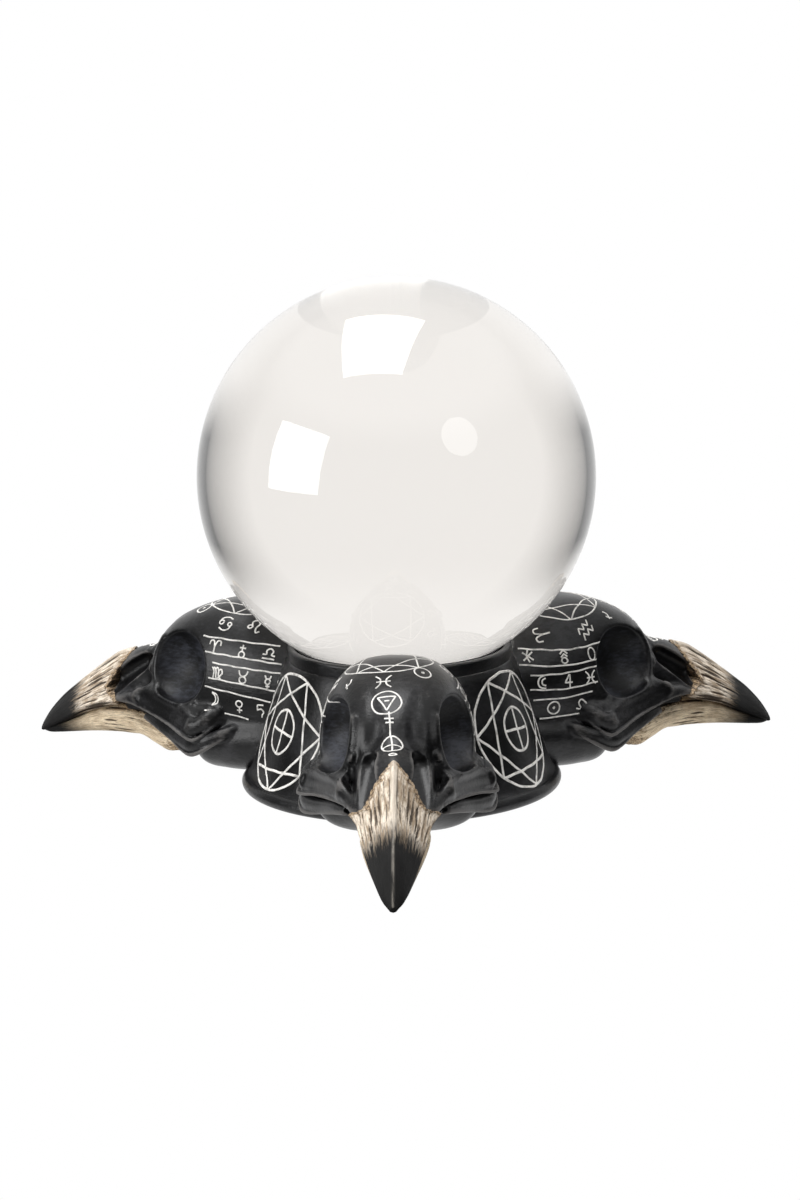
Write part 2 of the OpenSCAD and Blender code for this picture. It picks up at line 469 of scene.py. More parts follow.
def bar(block, path, steps=5):
    """A bar through points of [x, y, z, half thickness, half height], worked out only in a box around it."""
    path = smooth_path(path, steps if len(path) > 2 else 1)
    margin = 4 + path[:, 3:].max()
    window = []
    for axis, line in enumerate((block.x.ravel(), block.y.ravel(), block.z.ravel())):
        ends = (path[:, axis].min() - margin, path[:, axis].max() + margin)
        window.append(slice(*np.searchsorted(line, ends)))
    x, y, z = block.x[window[0]], block.y[:, window[1]], block.z[:, :, window[2]]
    best = np.full((x.size, y.size, z.size), 4, np.float32)
    for a, b in zip(path[:-1], path[1:]):
        run = b[:3] - a[:3]
        t = ((x - a[0]) * run[0] + (y - a[1]) * run[1] + (z - a[2]) * run[2]) / (run @ run)
        t = np.clip(t, 0, 1).astype(np.float32)
        flat = np.hypot(x - a[0] - run[0] * t, y - a[1] - run[1] * t)
        rise = z - a[2] - run[2] * t
        thick, tall = a[3] + (b[3] - a[3]) * t, a[4] + (b[4] - a[4]) * t
        best = np.minimum(best, (np.hypot(flat / thick, rise / tall) - 1) * np.minimum(thick, tall))
    whole = np.full((block.x.size, block.y.size, block.z.size), 4, np.float32)
    whole[tuple(window)] = best
    return whole


print("a path of 3 points is drawn with", len(smooth_path([[0, 0], [1, 1], [2, 0]])))

# %% [markdown]
# The eye hollows are cut with balls. The stand has a field too: the backs of the skulls are cut away a
# little inside it, so that each one grows out of the drum with no gap, and the ball's space is kept free.

# %% Balls and the space of the stand
BALL_GAP = 0.5


def ball(block, centre, radius):
    """A ball about the centre."""
    x, y, z = block.x - centre[0], block.y - centre[1], block.z - centre[2]
    return np.sqrt(x ** 2 + y ** 2 + z ** 2) - radius


def stand_field(block, inset):
    """The drum, collar, foot and ball's space together, made smaller by inset."""
    r = np.hypot(block.x, block.y)
    cone = (r - (CONE_R - CONE_TAPER * (block.z - FOOT_H))) * 0.95
    wall = np.maximum(cone, block.z - DRUM_TOP)
    neck = np.maximum(r - COLLAR_R, block.z - COLLAR_TOP)
    foot = np.maximum(r - FOOT_R, block.z - FOOT_H)
    solid = np.minimum(np.minimum(wall, neck), foot) + inset
    return np.minimum(solid, ball(block, (0, 0, BALL_Z), BALL_R + BALL_GAP))


print(f"the skulls stay {BALL_GAP} mm away from the ball")

# %% [markdown]
# OpenVDB lays a skin of four-sided faces where the field is zero. It wants the whole skull, so the left half
# is mirrored first, and far values are clipped, because only the ones near the skin matter.

# %% From a field to a mesh
def meshed(block, field, name):
    """Turns a half field into a closed mesh of both halves: vertices in millimetres, and faces."""
    reach = 4 * block.voxel
    whole = np.clip(np.concatenate([field[:, :0:-1], field], axis=1), -reach, reach)
    grid = openvdb.FloatGrid(reach)
    grid.copyFromArray(np.pad(whole, 1, constant_values=reach))
    points, quads = grid.convertToQuads(0.0)
    start = block.low - block.voxel
    start[1] = -block.voxel * (field.shape[1] - 1) - block.voxel
    made = points * block.voxel + start
    print(f"{name}: {len(made)} points, {len(quads)} faces")
    return made, np.array(quads)


test_block = Block((-2, 0, -2), (2, 2, 2), 0.5)
meshed(test_block, ball(test_block, (0, 0, 0), 1.5), "a small test ball")

# %% [markdown]
# A field can be read again at any point of the skin. Its slope there is the surface normal. The difference
# between the field and a blurred copy of it says how far a point stands proud of what is round it, which is
# where a dry brush leaves its paint.

# %% Read a field at the skin
def softened(field, half_width):
    """The field averaged over a box of 2 * half_width + 1 samples a side."""
    out = np.concatenate([field[:, half_width:0:-1], field], axis=1).astype(np.float64)
    for axis in range(3):
        pad = [(0, 0)] * 3
        pad[axis] = (half_width + 1, half_width)
        total = np.cumsum(np.pad(out, pad, mode="edge"), axis=axis)
        size = out.shape[axis]
        window = 2 * half_width + 1
        high = np.take(total, range(window, window + size), axis=axis)
        low = np.take(total, range(size), axis=axis)
        out = (high - low) / window
    return out[:, half_width:]


def read_field(block, field, points):
    """The field's value at each point, between the samples."""
    field = np.broadcast_to(field, (block.x.size, block.y.size, block.z.size))
    at = (np.abs(points) * [1, 1, 1] - block.low) / block.voxel
    at = np.clip(at, 0, np.array(field.shape) - 1.001)
    i = at.astype(int)
    f = at - i
    value = 0
    for corner in range(8):
        c = np.array([corner & 1, corner >> 1 & 1, corner >> 2])
        weight = np.prod(np.where(c, f, 1 - f), axis=1)
        value = value + weight * field[tuple((i + c).T)]
    return value


def field_normals(block, field, points):
    """The direction out of the surface at each point."""
    step = block.voxel
    out = []
    for axis in range(3):
        move = np.zeros(3)
        move[axis] = step
        out.append(read_field(block, field, points + move) - read_field(block, field, points - move))
    n = np.array(out).T
    return n / np.maximum(np.linalg.norm(n, axis=1, keepdims=True), 1e-9)


test_field = ball(test_block, (0, 0, 0), 1.5)
print("normal at the side of the test ball:", field_normals(test_block, test_field, np.array([[1.5, 0, 0]])))

# %% [markdown]
# ## Black bone
# Each skull is a deep brain case with a steep brow, a narrow bridge that runs into the beak, round bowls for
# the eyes with a raised rim, slanted nostrils, a cheek plate with a thin lower edge, and a jaw blade that
# turns up at the back. The rounded masses come first. Each section says how far out it lies, then its half
# width, its lowest, widest and highest points, and how full its sides and its roof are.

# %% Rounded masses of the skull
BRAIN_CASE = [
    [22, 16.5, 8, 24, 40.5, 2.6, 2], [30, 18.5, 6, 24, 43, 2.6, 2], [38, 20, 3.5, 24, 45.6, 2.65, 2],
    [46, 20.6, 2.6, 24, 47.4, 2.67, 2], [53, 20.4, 3, 24, 48.2, 2.67, 2],
    [60, 19.6, 5.5, 24, 47, 2.6, 2], [66, 18, 9, 24, 44.8, 2.5, 2.05],
    [71, 15.4, 12, 25, 42.2, 2.4, 2.2], [74, 13.2, 13.5, 26, 40.1, 2.2, 2.2],
    [77, 10.2, 15, 26, 37.5, 2, 2.1], [79.5, 7.6, 15.5, 25, 34.4, 1.8, 2],
    [82, 5.4, 16, 22, 31.2, 1.7, 2],
]
BRIDGE = [
    [68, 11, 12, 19, 33.4, 2, 2.2], [76, 10.8, 12.6, 18.5, 32.8, 2, 2.2],
    [82, 10.4, 12.6, 18, 31.9, 2, 2.2], [88, 9.8, 12.6, 17, 30.6, 1.7, 2],
    [94, 8.8, 12.4, 16, 27.6, 1.2, 1.3],
]
THROAT = [
    [40, 17, 3, 12, 22, 2, 2], [52, 15, 4.2, 12, 20, 2, 2], [62, 11.6, 7, 12.5, 20, 2, 2],
    [72, 8.4, 9, 13, 20, 2, 2], [82, 6.4, 10, 13, 18, 2, 2], [90, 5, 10.4, 13, 17, 2, 2],
]
UNDERSIDE = [
    [26, 19, 2.5, 11, 22, 3.5, 2], [38, 21.5, 1.5, 11, 21, 4, 2], [48, 22.3, 1.2, 10, 20, 4, 2],
    [55, 20.5, 1.5, 9, 18, 3.5, 2], [60, 15.5, 3.6, 9.5, 16, 3, 2], [65, 10, 6.2, 10.5, 14, 2.5, 2],
]
print("sections:", len(BRAIN_CASE) + len(BRIDGE) + len(THROAT) + len(UNDERSIDE))

# %% [markdown]
# The cheek is a thin plate of bone with a sharp lower edge, hollowed under the eye, and the jaw is a blade
# that runs back from the beak and turns up. Each is a bar through points of place, half thickness and half
# height, and a second, much thinner bar gives it a crisp edge.

# %% Bars of the cheek and the jaw
CHEEK = [
    [89.5, 9.8, 16.2, 1.2, 1.2], [84, 11.8, 18, 1.3, 1.7], [79.5, 13.7, 18.9, 1.6, 2.3],
    [75, 15.4, 18.2, 1.5, 2.7], [69, 17.9, 17.7, 1.4, 3], [63, 20.4, 16.9, 1.4, 3.1],
    [57.5, 22.9, 15.7, 1.5, 3.1], [53.5, 24.4, 15.1, 1.6, 2.7], [50.5, 23.8, 16.8, 1.5, 2.3],
    [48, 20.5, 18.5, 1.5, 1.8],
]
CHEEK_EDGE = [
    [85, 12.4, 16.9, 0.5, 0.4], [80, 14.5, 16.7, 0.5, 0.4], [75, 16.7, 16.1, 0.5, 0.4],
    [69, 19.4, 15.3, 0.5, 0.4], [63, 22.1, 14.2, 0.6, 0.4], [57, 24.8, 12.8, 0.7, 0.5],
    [52.5, 26.2, 12.3, 0.8, 0.6], [49, 24.6, 14.6, 0.6, 0.5], [47, 21, 17, 0.5, 0.5],
]
CHEEK_PLATE = [
    [75, 13.6, 21.2, 1.2, 1.6], [69, 16.4, 20, 1.2, 2.2], [62, 19.2, 18.8, 1.2, 2.4],
    [56, 21.2, 18, 1.2, 2.4], [51, 21.4, 18.6, 1.2, 2],
]
CHEEK_HOLLOW = [
    [78.5, 17, 19.8, 1.6, 1.5], [74, 18.8, 19.6, 2, 1.8], [68, 21.2, 18.8, 2.3, 2.1],
    [62, 23.7, 17.9, 2.3, 2.1], [57.5, 25.8, 17, 1.9, 1.8],
]
KNUCKLE = (54.4, 23.9, 15.6)
KNUCKLE_R = 1.9
KNUCKLE_DIMPLE = [[59, 22.2, 21.2, 0.8, 0.7], [55, 23.6, 21, 1.3, 1.2], [51, 24, 21.4, 0.8, 0.8]]
JAW = [
    [80, 11.8, 13.9, 0.9, 0.9], [72, 15.5, 12.9, 1.4, 1.7], [65, 18.7, 11.4, 1.5, 2],
    [59, 21.7, 10.2, 1.7, 2.2], [54.5, 23.8, 9.9, 1.8, 2.2], [50, 24.4, 11.4, 1.8, 2],
    [46, 22.8, 13.4, 1.7, 1.8], [42.5, 19.6, 15, 1.6, 1.6],
]
JAW_EDGE = [
    [78, 13.6, 13.1, 0.4, 0.4], [75, 15, 12.5, 0.5, 0.4], [70, 17.4, 11.2, 0.5, 0.4],
    [64, 20.2, 9.6, 0.5, 0.4], [58.5, 23.3, 8, 0.6, 0.5], [54, 25.3, 7.6, 0.7, 0.6],
    [49.5, 25.8, 9.6, 0.7, 0.6], [45.5, 23.9, 12.2, 0.6, 0.5], [42, 20.2, 14, 0.5, 0.5],
]
print("points on the cheek and jaw:", len(CHEEK) + len(CHEEK_EDGE) + len(JAW) + len(JAW_EDGE))

# %% [markdown]
# The eyes are shallow bowls that look out and a little forward. The lip below each, the strut in front of it,
# the valley down the brow and the gape where the beak opens are bars again, some joined on and some cut out.
# A tear pit and a nostril finish the face.

# %% Rims, hollows and eyes
SOCKET_LIP = [
    [72.5, 10.4, 36.8, 0.7, 0.7], [75, 10.5, 31, 1.0, 1.0], [74.4, 11.9, 25.5, 1.2, 1.2],
    [70, 14.4, 21.4, 1.3, 1.2], [63.5, 17.4, 19.9, 1.0, 0.9], [57, 19.9, 21.4, 0.5, 0.5],
]
BROW_VALLEY = [
    [69, 6.6, 44.6, 0.9, 0.9], [73.5, 6.1, 41.9, 1.5, 1.5], [77.2, 5.7, 38.3, 2.1, 2.1],
    [79.6, 6, 34.4, 2.3, 2.3], [81, 7.4, 31.2, 1.8, 1.8],
]
TEAR_STRUT = [[76.8, 10.8, 28, 0.8, 0.8], [77.4, 12.4, 22.5, 1.2, 1.2], [79.2, 13.4, 19.6, 1.4, 1.4]]
TEAR_PIT = [[83.4, 11.6, 20, 1.1, 1.1], [79, 12.4, 22, 2, 2], [77.6, 11.9, 25.2, 1.4, 1.4]]
MOUTH_WEB = [[90, 7.4, 14.4, 1.2, 1.6], [84, 8.2, 14.6, 1.5, 1.8], [77, 11.4, 14.8, 1.6, 1.8]]
GAPE = [[79, 12.4, 14.1, 1.2, 0.8], [83.5, 10.4, 14, 2.9, 1.9], [88.6, 10.2, 14, 3.2, 2.1]]
NOSTRIL = [[82.8, 7, 27.9, 3.2, 3.2], [93, 9, 21, 3.7, 3.7]]
NOSTRIL_FLOOR = [[84, 5, 27.2, 2.2, 2.2], [92.5, 6, 21.8, 2.7, 2.7]]
EYE = np.array([64.3, 14.8, 30])
EYE_OUT = np.array([0.38, 0.91, 0.12]) / np.linalg.norm([0.38, 0.91, 0.12])
EYE_R = 9.8
BOWL_SHIFT = 3.6
# centre of a painted highlight: a spot of lighter grey on the brow
BROW_HIGHLIGHT = (68.5, 8.5, 42)
EYE_BACK = np.array([-2.4, 0.9, 0.2])
print(f"eyes {2 * EYE_R:.1f} mm across")

# %% [markdown]
# The horn sheath sits over the front of the bone, and the bone is kept inside it, so the outlines of the
# beak come before the bone is joined up. A rim is a line of points of height and distance out, where the
# sheath ends.

# %% Outlines of the horn
UPPER_BEAK = [
    [84, 11.4, 14, 17, 30.9, 1.15, 1.2], [90, 11.5, 13.6, 16.4, 30.1, 1.12, 1.15],
    [95, 10.2, 12.2, 15, 28.6, 1.12, 1.15], [100, 9.2, 10.8, 13.4, 25.4, 1.15, 1.2],
    [106, 7.8, 8.8, 11, 21.2, 1.2, 1.25], [112, 6.1, 5.9, 7.8, 16.7, 1.25, 1.35],
    [118, 4.2, 3.4, 4.9, 11.8, 1.35, 1.5], [122.5, 2.6, 1.7, 2.9, 6.9, 1.5, 1.6],
    [REACH, 0.8, 0.9, 1.5, 2.6, 1.8, 1.8],
]
LOWER_BEAK = [
    [70, 4.6, 4.6, 6.5, 9, 2.6, 2], [73, 6, 2.2, 6, 10.4, 2.6, 2], [76.5, 7, 0.8, 6, 11.6, 2.6, 2],
    [80, 8, 2.2, 7.4, 12.4, 2.4, 2], [83, 8.7, 4.2, 8.4, 12.9, 2.3, 2], [90, 9, 4.7, 9, 14, 2.2, 2],
    [96, 8.4, 4.4, 8.6, 13.4, 2.2, 2], [102, 7.4, 3.8, 7.6, 11.8, 2.2, 2], [108, 6, 3, 6, 9, 2.2, 2],
    [113, 4.7, 2.2, 4.4, 6.8, 2.2, 2], [118, 3.4, 1.4, 3, 4.9, 2.2, 2], [122, 2, 0.9, 2, 3.2, 2.2, 2],
    [124.3, 0.6, 1, 1.4, 1.8, 2.2, 2],
]
UPPER_RIM = [
    [12, 88.2], [13, 88.4], [15, 89.3], [17, 91], [18, 94], [19, 95.4], [20, 95.2], [22, 94.1],
    [25, 92.7], [28, 91], [30, 89.9], [32, 89.4],
]
LOWER_RIM = [
    [1, 74], [3, 73], [5, 69.4], [7, 71], [9, 74.5], [10.5, 77.5], [12, 80.5], [12.6, 87], [15, 88.6],
]
print(f"the beak runs from {UPPER_BEAK[0][0]} to {UPPER_BEAK[-1][0]:.1f} mm")

# %% [markdown]
# Now the parts are joined and cut in the order in which a sculptor would work: masses, rims, eyes, nostrils,
# cheek and jaw, and last the gape. All of it is one field, so the parts melt into one another. A point
# belongs to the part whose own shape is nearest, which splits the field into closed pieces with no step
# between them.

# %% Sculpt the bone
BONE_VOXEL = 0.4
HORN_THICKNESS = 0.6


def bone_fields(b):
    """The skull's black bone: the whole of it, and the parts that divide it."""
    case = join(lofted(b, BRAIN_CASE), lofted(b, BRIDGE), 2.2)
    case = cut(case, bar(b, BROW_VALLEY), 1.8)
    case = join(case, bar(b, SOCKET_LIP), 1.6)
    case = join(case, bar(b, TEAR_STRUT), 1.2)
    case = join(case, bar(b, CHEEK_PLATE), 2)
    bowl_r = math.hypot(EYE_R, BOWL_SHIFT)
    bowl = ball(b, EYE + EYE_OUT * BOWL_SHIFT, bowl_r)
    bowl = join(bowl, ball(b, EYE + EYE_OUT * BOWL_SHIFT + EYE_BACK, bowl_r), 1)
    case = cut(case, bowl, 1.1)
    nostril = join(bar(b, NOSTRIL), bar(b, NOSTRIL_FLOOR), 1.0)
    case = cut(case, nostril, 0.7)
    case = join(case, lofted(b, UNDERSIDE), 2)
    case = join(case, lofted(b, THROAT), 1.5)
    case = join(case, bar(b, MOUTH_WEB), 1.5)
    case = cut(case, bar(b, TEAR_PIT), 0.8)
    cheek = join(join(bar(b, CHEEK), bar(b, CHEEK_EDGE), 0.6), ball(b, KNUCKLE, KNUCKLE_R), 1.2)
    jaw = join(bar(b, JAW), bar(b, JAW_EDGE), 0.6)
    whole = join(case, cheek, 2.4)
    whole = join(whole, jaw, 0.6)
    whole = cut(whole, bar(b, KNUCKLE_DIMPLE), 1.0)
    whole = cut(whole, bar(b, GAPE), 0.7)
    whole = cut(whole, bar(b, CHEEK_HOLLOW), 1.6)
    horn_line = np.interp(b.z, *np.array(UPPER_RIM, float).T).astype(np.float32)
    whole = np.maximum(whole, np.minimum(lofted(b, UPPER_BEAK) + 0.5, b.x - HORN_THICKNESS - horn_line))
    whole = np.maximum(whole, -stand_field(b, 1.0))
    return whole, case, cheek, jaw


bone_block = Block((24, 0, 0), (96, 29, 50), BONE_VOXEL)
bone_whole, bone_case, bone_cheek, bone_jaw = bone_fields(bone_block)
others_than = {
    "cranium": (bone_case, np.minimum(bone_cheek, bone_jaw)),
    "cheek": (bone_cheek, np.minimum(bone_case, bone_jaw)),
    "jaw": (bone_jaw, np.minimum(bone_case, bone_cheek)),
}
bone_level = softened(bone_whole, 4) - bone_whole
print("bone field:", bone_whole.shape)

# %% [markdown]
# ## Making a mesh from points and faces
# Sculpted points arrive in one skull's own frame, so they are turned to their place about the drum's axis.
# The normals come straight from the field instead of from the small faces, which keeps the surface smooth
# across the line where two pieces meet.

# %% Build meshes
def build(name, points, faces, turn=0.0, normals=None, numbers=None, vectors=None, material=None):
    """A mesh object at the origin; numbers and vectors are attributes, one value for each point."""
    c, s = math.cos(math.radians(turn)), math.sin(math.radians(turn))
    spin = np.array([[c, -s, 0], [s, c, 0], [0, 0, 1]])
    mesh = bpy.data.meshes.new(name)
    mesh.from_pydata((points @ spin.T) * MM, [], faces.tolist() if hasattr(faces, "tolist") else faces)
    mesh.shade_smooth()
    for key, values in (numbers or {}).items():
        mesh.attributes.new(key, "FLOAT", "POINT").data.foreach_set("value", np.asarray(values, np.float32))
    for key, values in (vectors or {}).items():
        layer = mesh.attributes.new(key, "FLOAT_VECTOR", "POINT")
        layer.data.foreach_set("vector", np.asarray(values, np.float32).ravel())
    if normals is not None:
        mesh.normals_split_custom_set_from_vertices((normals @ spin.T).tolist())
    if material:
        mesh.materials.append(material)
    made = bpy.data.objects.new(name, mesh)
    scene.collection.objects.link(made)
    return made


print("a mesh's numbers are kept on its points, in the", MM, "m grid of the frame")

# %% [markdown]
# ## Finish the bones
# The cranium is one piece, and a cheek and a jaw are two pieces each, one on either side. Their points carry
# how proud they stand and how deep in an eye they lie, for the paint. Round the rim of an eye the brush
# caught less, and on the brow a spot of lighter grey is a painted highlight.

# %% Finish the bones
def side_of(points, faces, side):
    """The part of a mirrored mesh on one side of a skull."""
    keep = points[:, 1] * side > 0
    chosen = faces[keep[faces].all(axis=1)]
    used = np.unique(chosen)
    renumber = np.zeros(len(points), int)
    renumber[used] = np.arange(len(used))
    return points[used], renumber[chosen]


def bone_mesh(part):
    """The skin of the points that lie nearer to this part than to the others."""
    own, rest = others_than[part]
    field = np.maximum(bone_whole, (own - rest) * 0.5)
    return meshed(bone_block, field, part)


def finish_bone(name, points, faces, turn, node):
    """One piece of bone, with what its paint needs to know."""
    normals = field_normals(bone_block, bone_whole, points)
    raised = read_field(bone_block, bone_level, points) / 0.3
    mirrored = np.abs(points)
    front_bowl = np.linalg.norm(mirrored - EYE, axis=1)
    away = np.minimum(front_bowl, np.linalg.norm(mirrored - EYE - EYE_BACK, axis=1))
    socket = np.clip((EYE_R + 0.6 - away) / 1.5, 0, 1)
    raised = raised * (1 - 0.55 * np.clip(1.6 - np.abs(away - EYE_R - 0.4), 0, 1))
    # painted highlight: a spot of lighter grey added on the brow
    raised = raised + 0.8 * np.exp(-np.sum((mirrored - BROW_HIGHLIGHT) ** 2, axis=1) / 16)
    numbers = {"raised": raised, "socket": socket}
    made = build(name, points, faces, turn, normals, numbers, material=bone_paint)
    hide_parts(node)
    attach(made, "stand")


cranium_points, cranium_faces = bone_mesh("cranium")
cheek_points, cheek_faces = bone_mesh("cheek")
jaw_points, jaw_faces = bone_mesh("jaw")
for skull, turn in SKULL_TURNS.items():
    finish_bone(f"{skull}_cranium", cranium_points, cranium_faces, turn, f"{skull}_skull_cranium")
    for hand, side in (("left", 1), ("right", -1)):
        for part, (p, f) in (("cheek", (cheek_points, cheek_faces)), ("jaw", (jaw_points, jaw_faces))):
            half_points, half_faces = side_of(p, f, side)
            node = f"{skull}_skull_{part}_{hand}"
            finish_bone(f"{skull}_{part}_{hand}", half_points, half_faces, turn, node)
print("bones finished:", len(SKULL_TURNS) * 5)

# %% [markdown]
# ## Beaks
# A beak is horn over bone: a keeled upper half whose ragged rim stands a little proud around the nostrils,
# and a shorter lower half with a lump of a chin. Old horn splits along its grain, so long slits run towards
# the tip. They are cut into the field itself, at a constant height between the keel and the mouth, so that
# they draw together at the tip as real grain does.

# %% Shape the horn
BEAK_VOXEL = 0.25
rng = np.random.default_rng(7)


def wavy(where, rates, weight):
    """A sum of a few sines, as a cheap smooth noise."""
    return sum(weight / (i + 1) ** 0.5 * np.sin(rate * where + phase)
               for i, (rate, phase) in enumerate(zip(rates, rng.uniform(0, 6.3, len(rates)))))


def beak_fields(b, sections, rim_line, slits, fibre, browned):
    """A beak half, with how deep a point is in a slit, and how near the rim it is."""
    s = np.array(sections, float).T
    shape = lofted(b, sections)
    mid, high = (along_curve(b.x, s[0], s[k]).astype(np.float32) for k in (3, 4))
    low = along_curve(b.x, s[0], s[2]).astype(np.float32)
    height = np.where(b.z > mid, (b.z - mid) / (high - mid), (b.z - mid) / (mid - low))
    rise = np.where(b.z > mid, high - mid, mid - low)
    ragged = wavy(b.z, (2.9, 5.3, 8.7), 0.22)
    line = np.array(rim_line, float).T
    rim = np.interp(b.z, line[0], line[1]).astype(np.float32) + ragged
    behind = rim - b.x
    shape = shape - 0.32 * np.exp(-((behind / 1.2) ** 2))
    if high.max() > 20:
        thick = np.minimum(0.75, (high - low) * 0.16)
        keel = np.hypot(b.y, b.z - high + thick) - thick
        shape = join(shape, np.maximum(keel, b.x - REACH + 0.8), 0.6)
    grain = wavy(height * 5.0 + 0.03 * b.x, (3.1, 5.3, 8.7, 12.9), fibre)
    near_root = np.clip((112 - b.x) / 14, 0.15, 1)
    shape = shape - grain * near_root
    depth = np.zeros_like(shape)
    for start, length, level, width, deep in slits:
        along = (b.x - start) / length
        taper = np.clip(4 * along * (1 - along), 0, 1) ** 0.5
        off = np.abs((height - level - 0.007 * np.sin(b.x * 0.8 + level * 9)) * rise)
        groove = np.clip(1 - off / (width * taper + 1e-3), 0, 1) * (taper > 0)
        depth = np.maximum(depth, groove * taper * deep)
    depth = depth * np.clip((-behind - 0.7) / 1.5, 0, 1)
    shape = shape + depth
    return np.maximum(shape, behind * 0.8), depth, np.exp(-np.clip(-behind, 0, 20) / browned), height


print(f"the horn is sampled every {BEAK_VOXEL} mm")

# %% [markdown]
# The slits are drawn at random from a fixed seed: where each one starts, how long it is and at what height it
# lies. The upper beak has a dozen long ones and a few short ones nearer the tip, and the lower one has six.

# %% Open the slits
def some_slits(count, starts, lengths, levels):
    """Slits of [start, length, level, half width, depth]."""
    level = np.linspace(*levels, count) + rng.uniform(-0.03, 0.03, count)
    return [[rng.uniform(*starts), rng.uniform(*lengths), a, rng.uniform(0.24, 0.42), rng.uniform(0.3, 0.7)]
            for a in level]


upper_block = Block((86, 0, 0), (127, 13, 33), BEAK_VOXEL)
lower_block = Block((68, 0, 0), (126, 11.5, 15), BEAK_VOXEL)
upper_slits = some_slits(12, (91, 95), (8, 17), (-0.5, 0.93)) + some_slits(7, (97, 102), (4, 9), (0.1, 0.85))
lower_slits = some_slits(6, (80, 92), (6, 14), (-0.7, 0.7))
upper_parts = beak_fields(upper_block, UPPER_BEAK, UPPER_RIM, upper_slits, 0.07, 2.4)
lower_parts = beak_fields(lower_block, LOWER_BEAK, LOWER_RIM, lower_slits, 0.06, 6.5)
print("slits:", len(upper_slits), "above and", len(lower_slits), "below")

# %% [markdown]
# ## Finish the beaks
# The horn's paint needs to know how far along the beak a point lies, how deep in a slit, how near the rim and
# how near the keel. The grain is a frame of its own that runs with the horn, and each skull shifts it, so
# that no two beaks are streaked alike.

# %% Finish the beaks
def finish_beak(label, block, parts, material):
    """Three beaks from one field, with what their paint needs to know."""
    shape, depth, rim, height = parts
    points, faces = meshed(block, shape, label)
    normals = field_normals(block, shape, points)
    up = read_field(block, np.broadcast_to(height, shape.shape), points)
    on_top = (up > 0.8) * (label == "upper_beak")
    numbers = {
        "along": (points[:, 0] - 90) / (REACH - 90) + 0.12 * (1 - np.clip(up, 0, 1)),
        "slit": read_field(block, depth, points) / 0.6,
        "rim": read_field(block, rim, points),
        "keel": np.exp(-((points[:, 1] / 0.26) ** 2)) * on_top,
        "crest": np.exp(-((points[:, 1] / 0.8) ** 2)) * on_top,
    }
    grain = np.stack([points[:, 0], up * 10, np.sign(points[:, 1]) * 4 + points[:, 1] * 0.2], axis=1)
    for number, (skull, turn) in enumerate(SKULL_TURNS.items()):
        own = grain + [37.0 * number, 11.0 * number, 0]
        made = build(f"{skull}_{label}", points, faces, turn, normals, numbers, {"grain": own}, material)
        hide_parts(f"{skull}_skull_{label}")
        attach(made, "stand")


finish_beak("upper_beak", upper_block, upper_parts, upper_horn)
finish_beak("lower_beak", lower_block, lower_parts, lower_horn)
print("beak halves finished:", len(SKULL_TURNS) * 2)

# %% [markdown]
# ## Turned pieces
# The drum, its foot, the collar, the cushion ring and the felt are all round, so each is a closed outline
# that is turned about the axis. A fine step keeps the rim round where it is seen against the light. Points
# that fall together on the axis are merged, so that a disc has a closed middle.

# %% Turn an outline
TURN_STEPS = 240
SHARP_ANGLE = 40


def turned(name, outline, material, node, body):
    """Turns a closed outline of (radius, height) in millimetres, given anticlockwise, about the z axis."""
    outline = np.array(outline, float)
    angle = np.linspace(0, 2 * math.pi, TURN_STEPS, endpoint=False)
    r, z = outline.T
    points = np.stack([np.outer(np.cos(angle), r), np.outer(np.sin(angle), r),
                       np.broadcast_to(z, (TURN_STEPS, len(r)))], axis=2).reshape(-1, 3)
    n = len(r)
    off_axis = np.flatnonzero(r + np.roll(r, -1) > 0)
    i, j = np.meshgrid(np.arange(TURN_STEPS), off_axis, indexing="ij")
    k, m = (i + 1) % TURN_STEPS, (j + 1) % n
    faces = np.stack([i * n + j, k * n + j, k * n + m, i * n + m], axis=2).reshape(-1, 4)
    made = build(name, points, faces, material=material)
    shell = bmesh.new()
    shell.from_mesh(made.data)
    bmesh.ops.remove_doubles(shell, verts=shell.verts, dist=1e-6)
    bmesh.ops.recalc_face_normals(shell, faces=shell.faces)
    shell.to_mesh(made.data)
    shell.free()
    made.data.set_sharp_from_angle(angle=math.radians(SHARP_ANGLE))
    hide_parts(node)
    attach(made, body)
    print(f"{name}: {len(made.data.polygons)} faces")


def arc(centre, radius, start, stop, steps=8):
    """Points of an arc, in degrees."""
    a = np.radians(np.linspace(start, stop, steps))
    return [(centre[0] + radius * math.cos(t), centre[1] + radius * math.sin(t)) for t in a]


print("an eighth of a turn is drawn with", len(arc((0, 0), 1, 0, 45)), "points")

# %% [markdown]
# ## Drum, foot and collar
# The drum narrows in a straight line from its foot, where a small cove sweeps out to meet the rounded lip,
# and its top edge is softly rounded. The collar is a low neck with a round rim that frames the ball.

# %% Turn the drum, the foot and the collar
CUP_R = 24.9
FELT_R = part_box("base_felt")[1].x / MM
FELT_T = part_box("base_felt")[1].z / MM
SHOULDER = 0.9
wall = [(cone_radius(z), z) for z in FOOT_H + (DRUM_TOP - 1.1 - FOOT_H) * np.linspace(0, 1, 30) ** 1.5]
shoulder = arc((cone_radius(DRUM_TOP) - SHOULDER, DRUM_TOP - SHOULDER), SHOULDER, 15, 90, 6)
underside = [(CUP_R, FELT_T + 0.1), (CONE_R - 1.2, FELT_T + 0.1), (CONE_R + 0.2, FOOT_H - 0.4)]
turned("drum_wall", underside + wall + shoulder + [(CUP_R, DRUM_TOP)],
       drum_paint, "drum", "stand")
lip = FOOT_R - 1.7
turned("foot_lip", [(FELT_R + 0.1, 0.35)] + arc((lip, 2.05), 1.7, -70, 20, 9)
       + arc((lip - 0.3, FOOT_H - 1.6), 1.6, 25, 90, 7) + [(FELT_R + 0.1, FOOT_H)],
       drum_paint, "foot_ring", "stand")
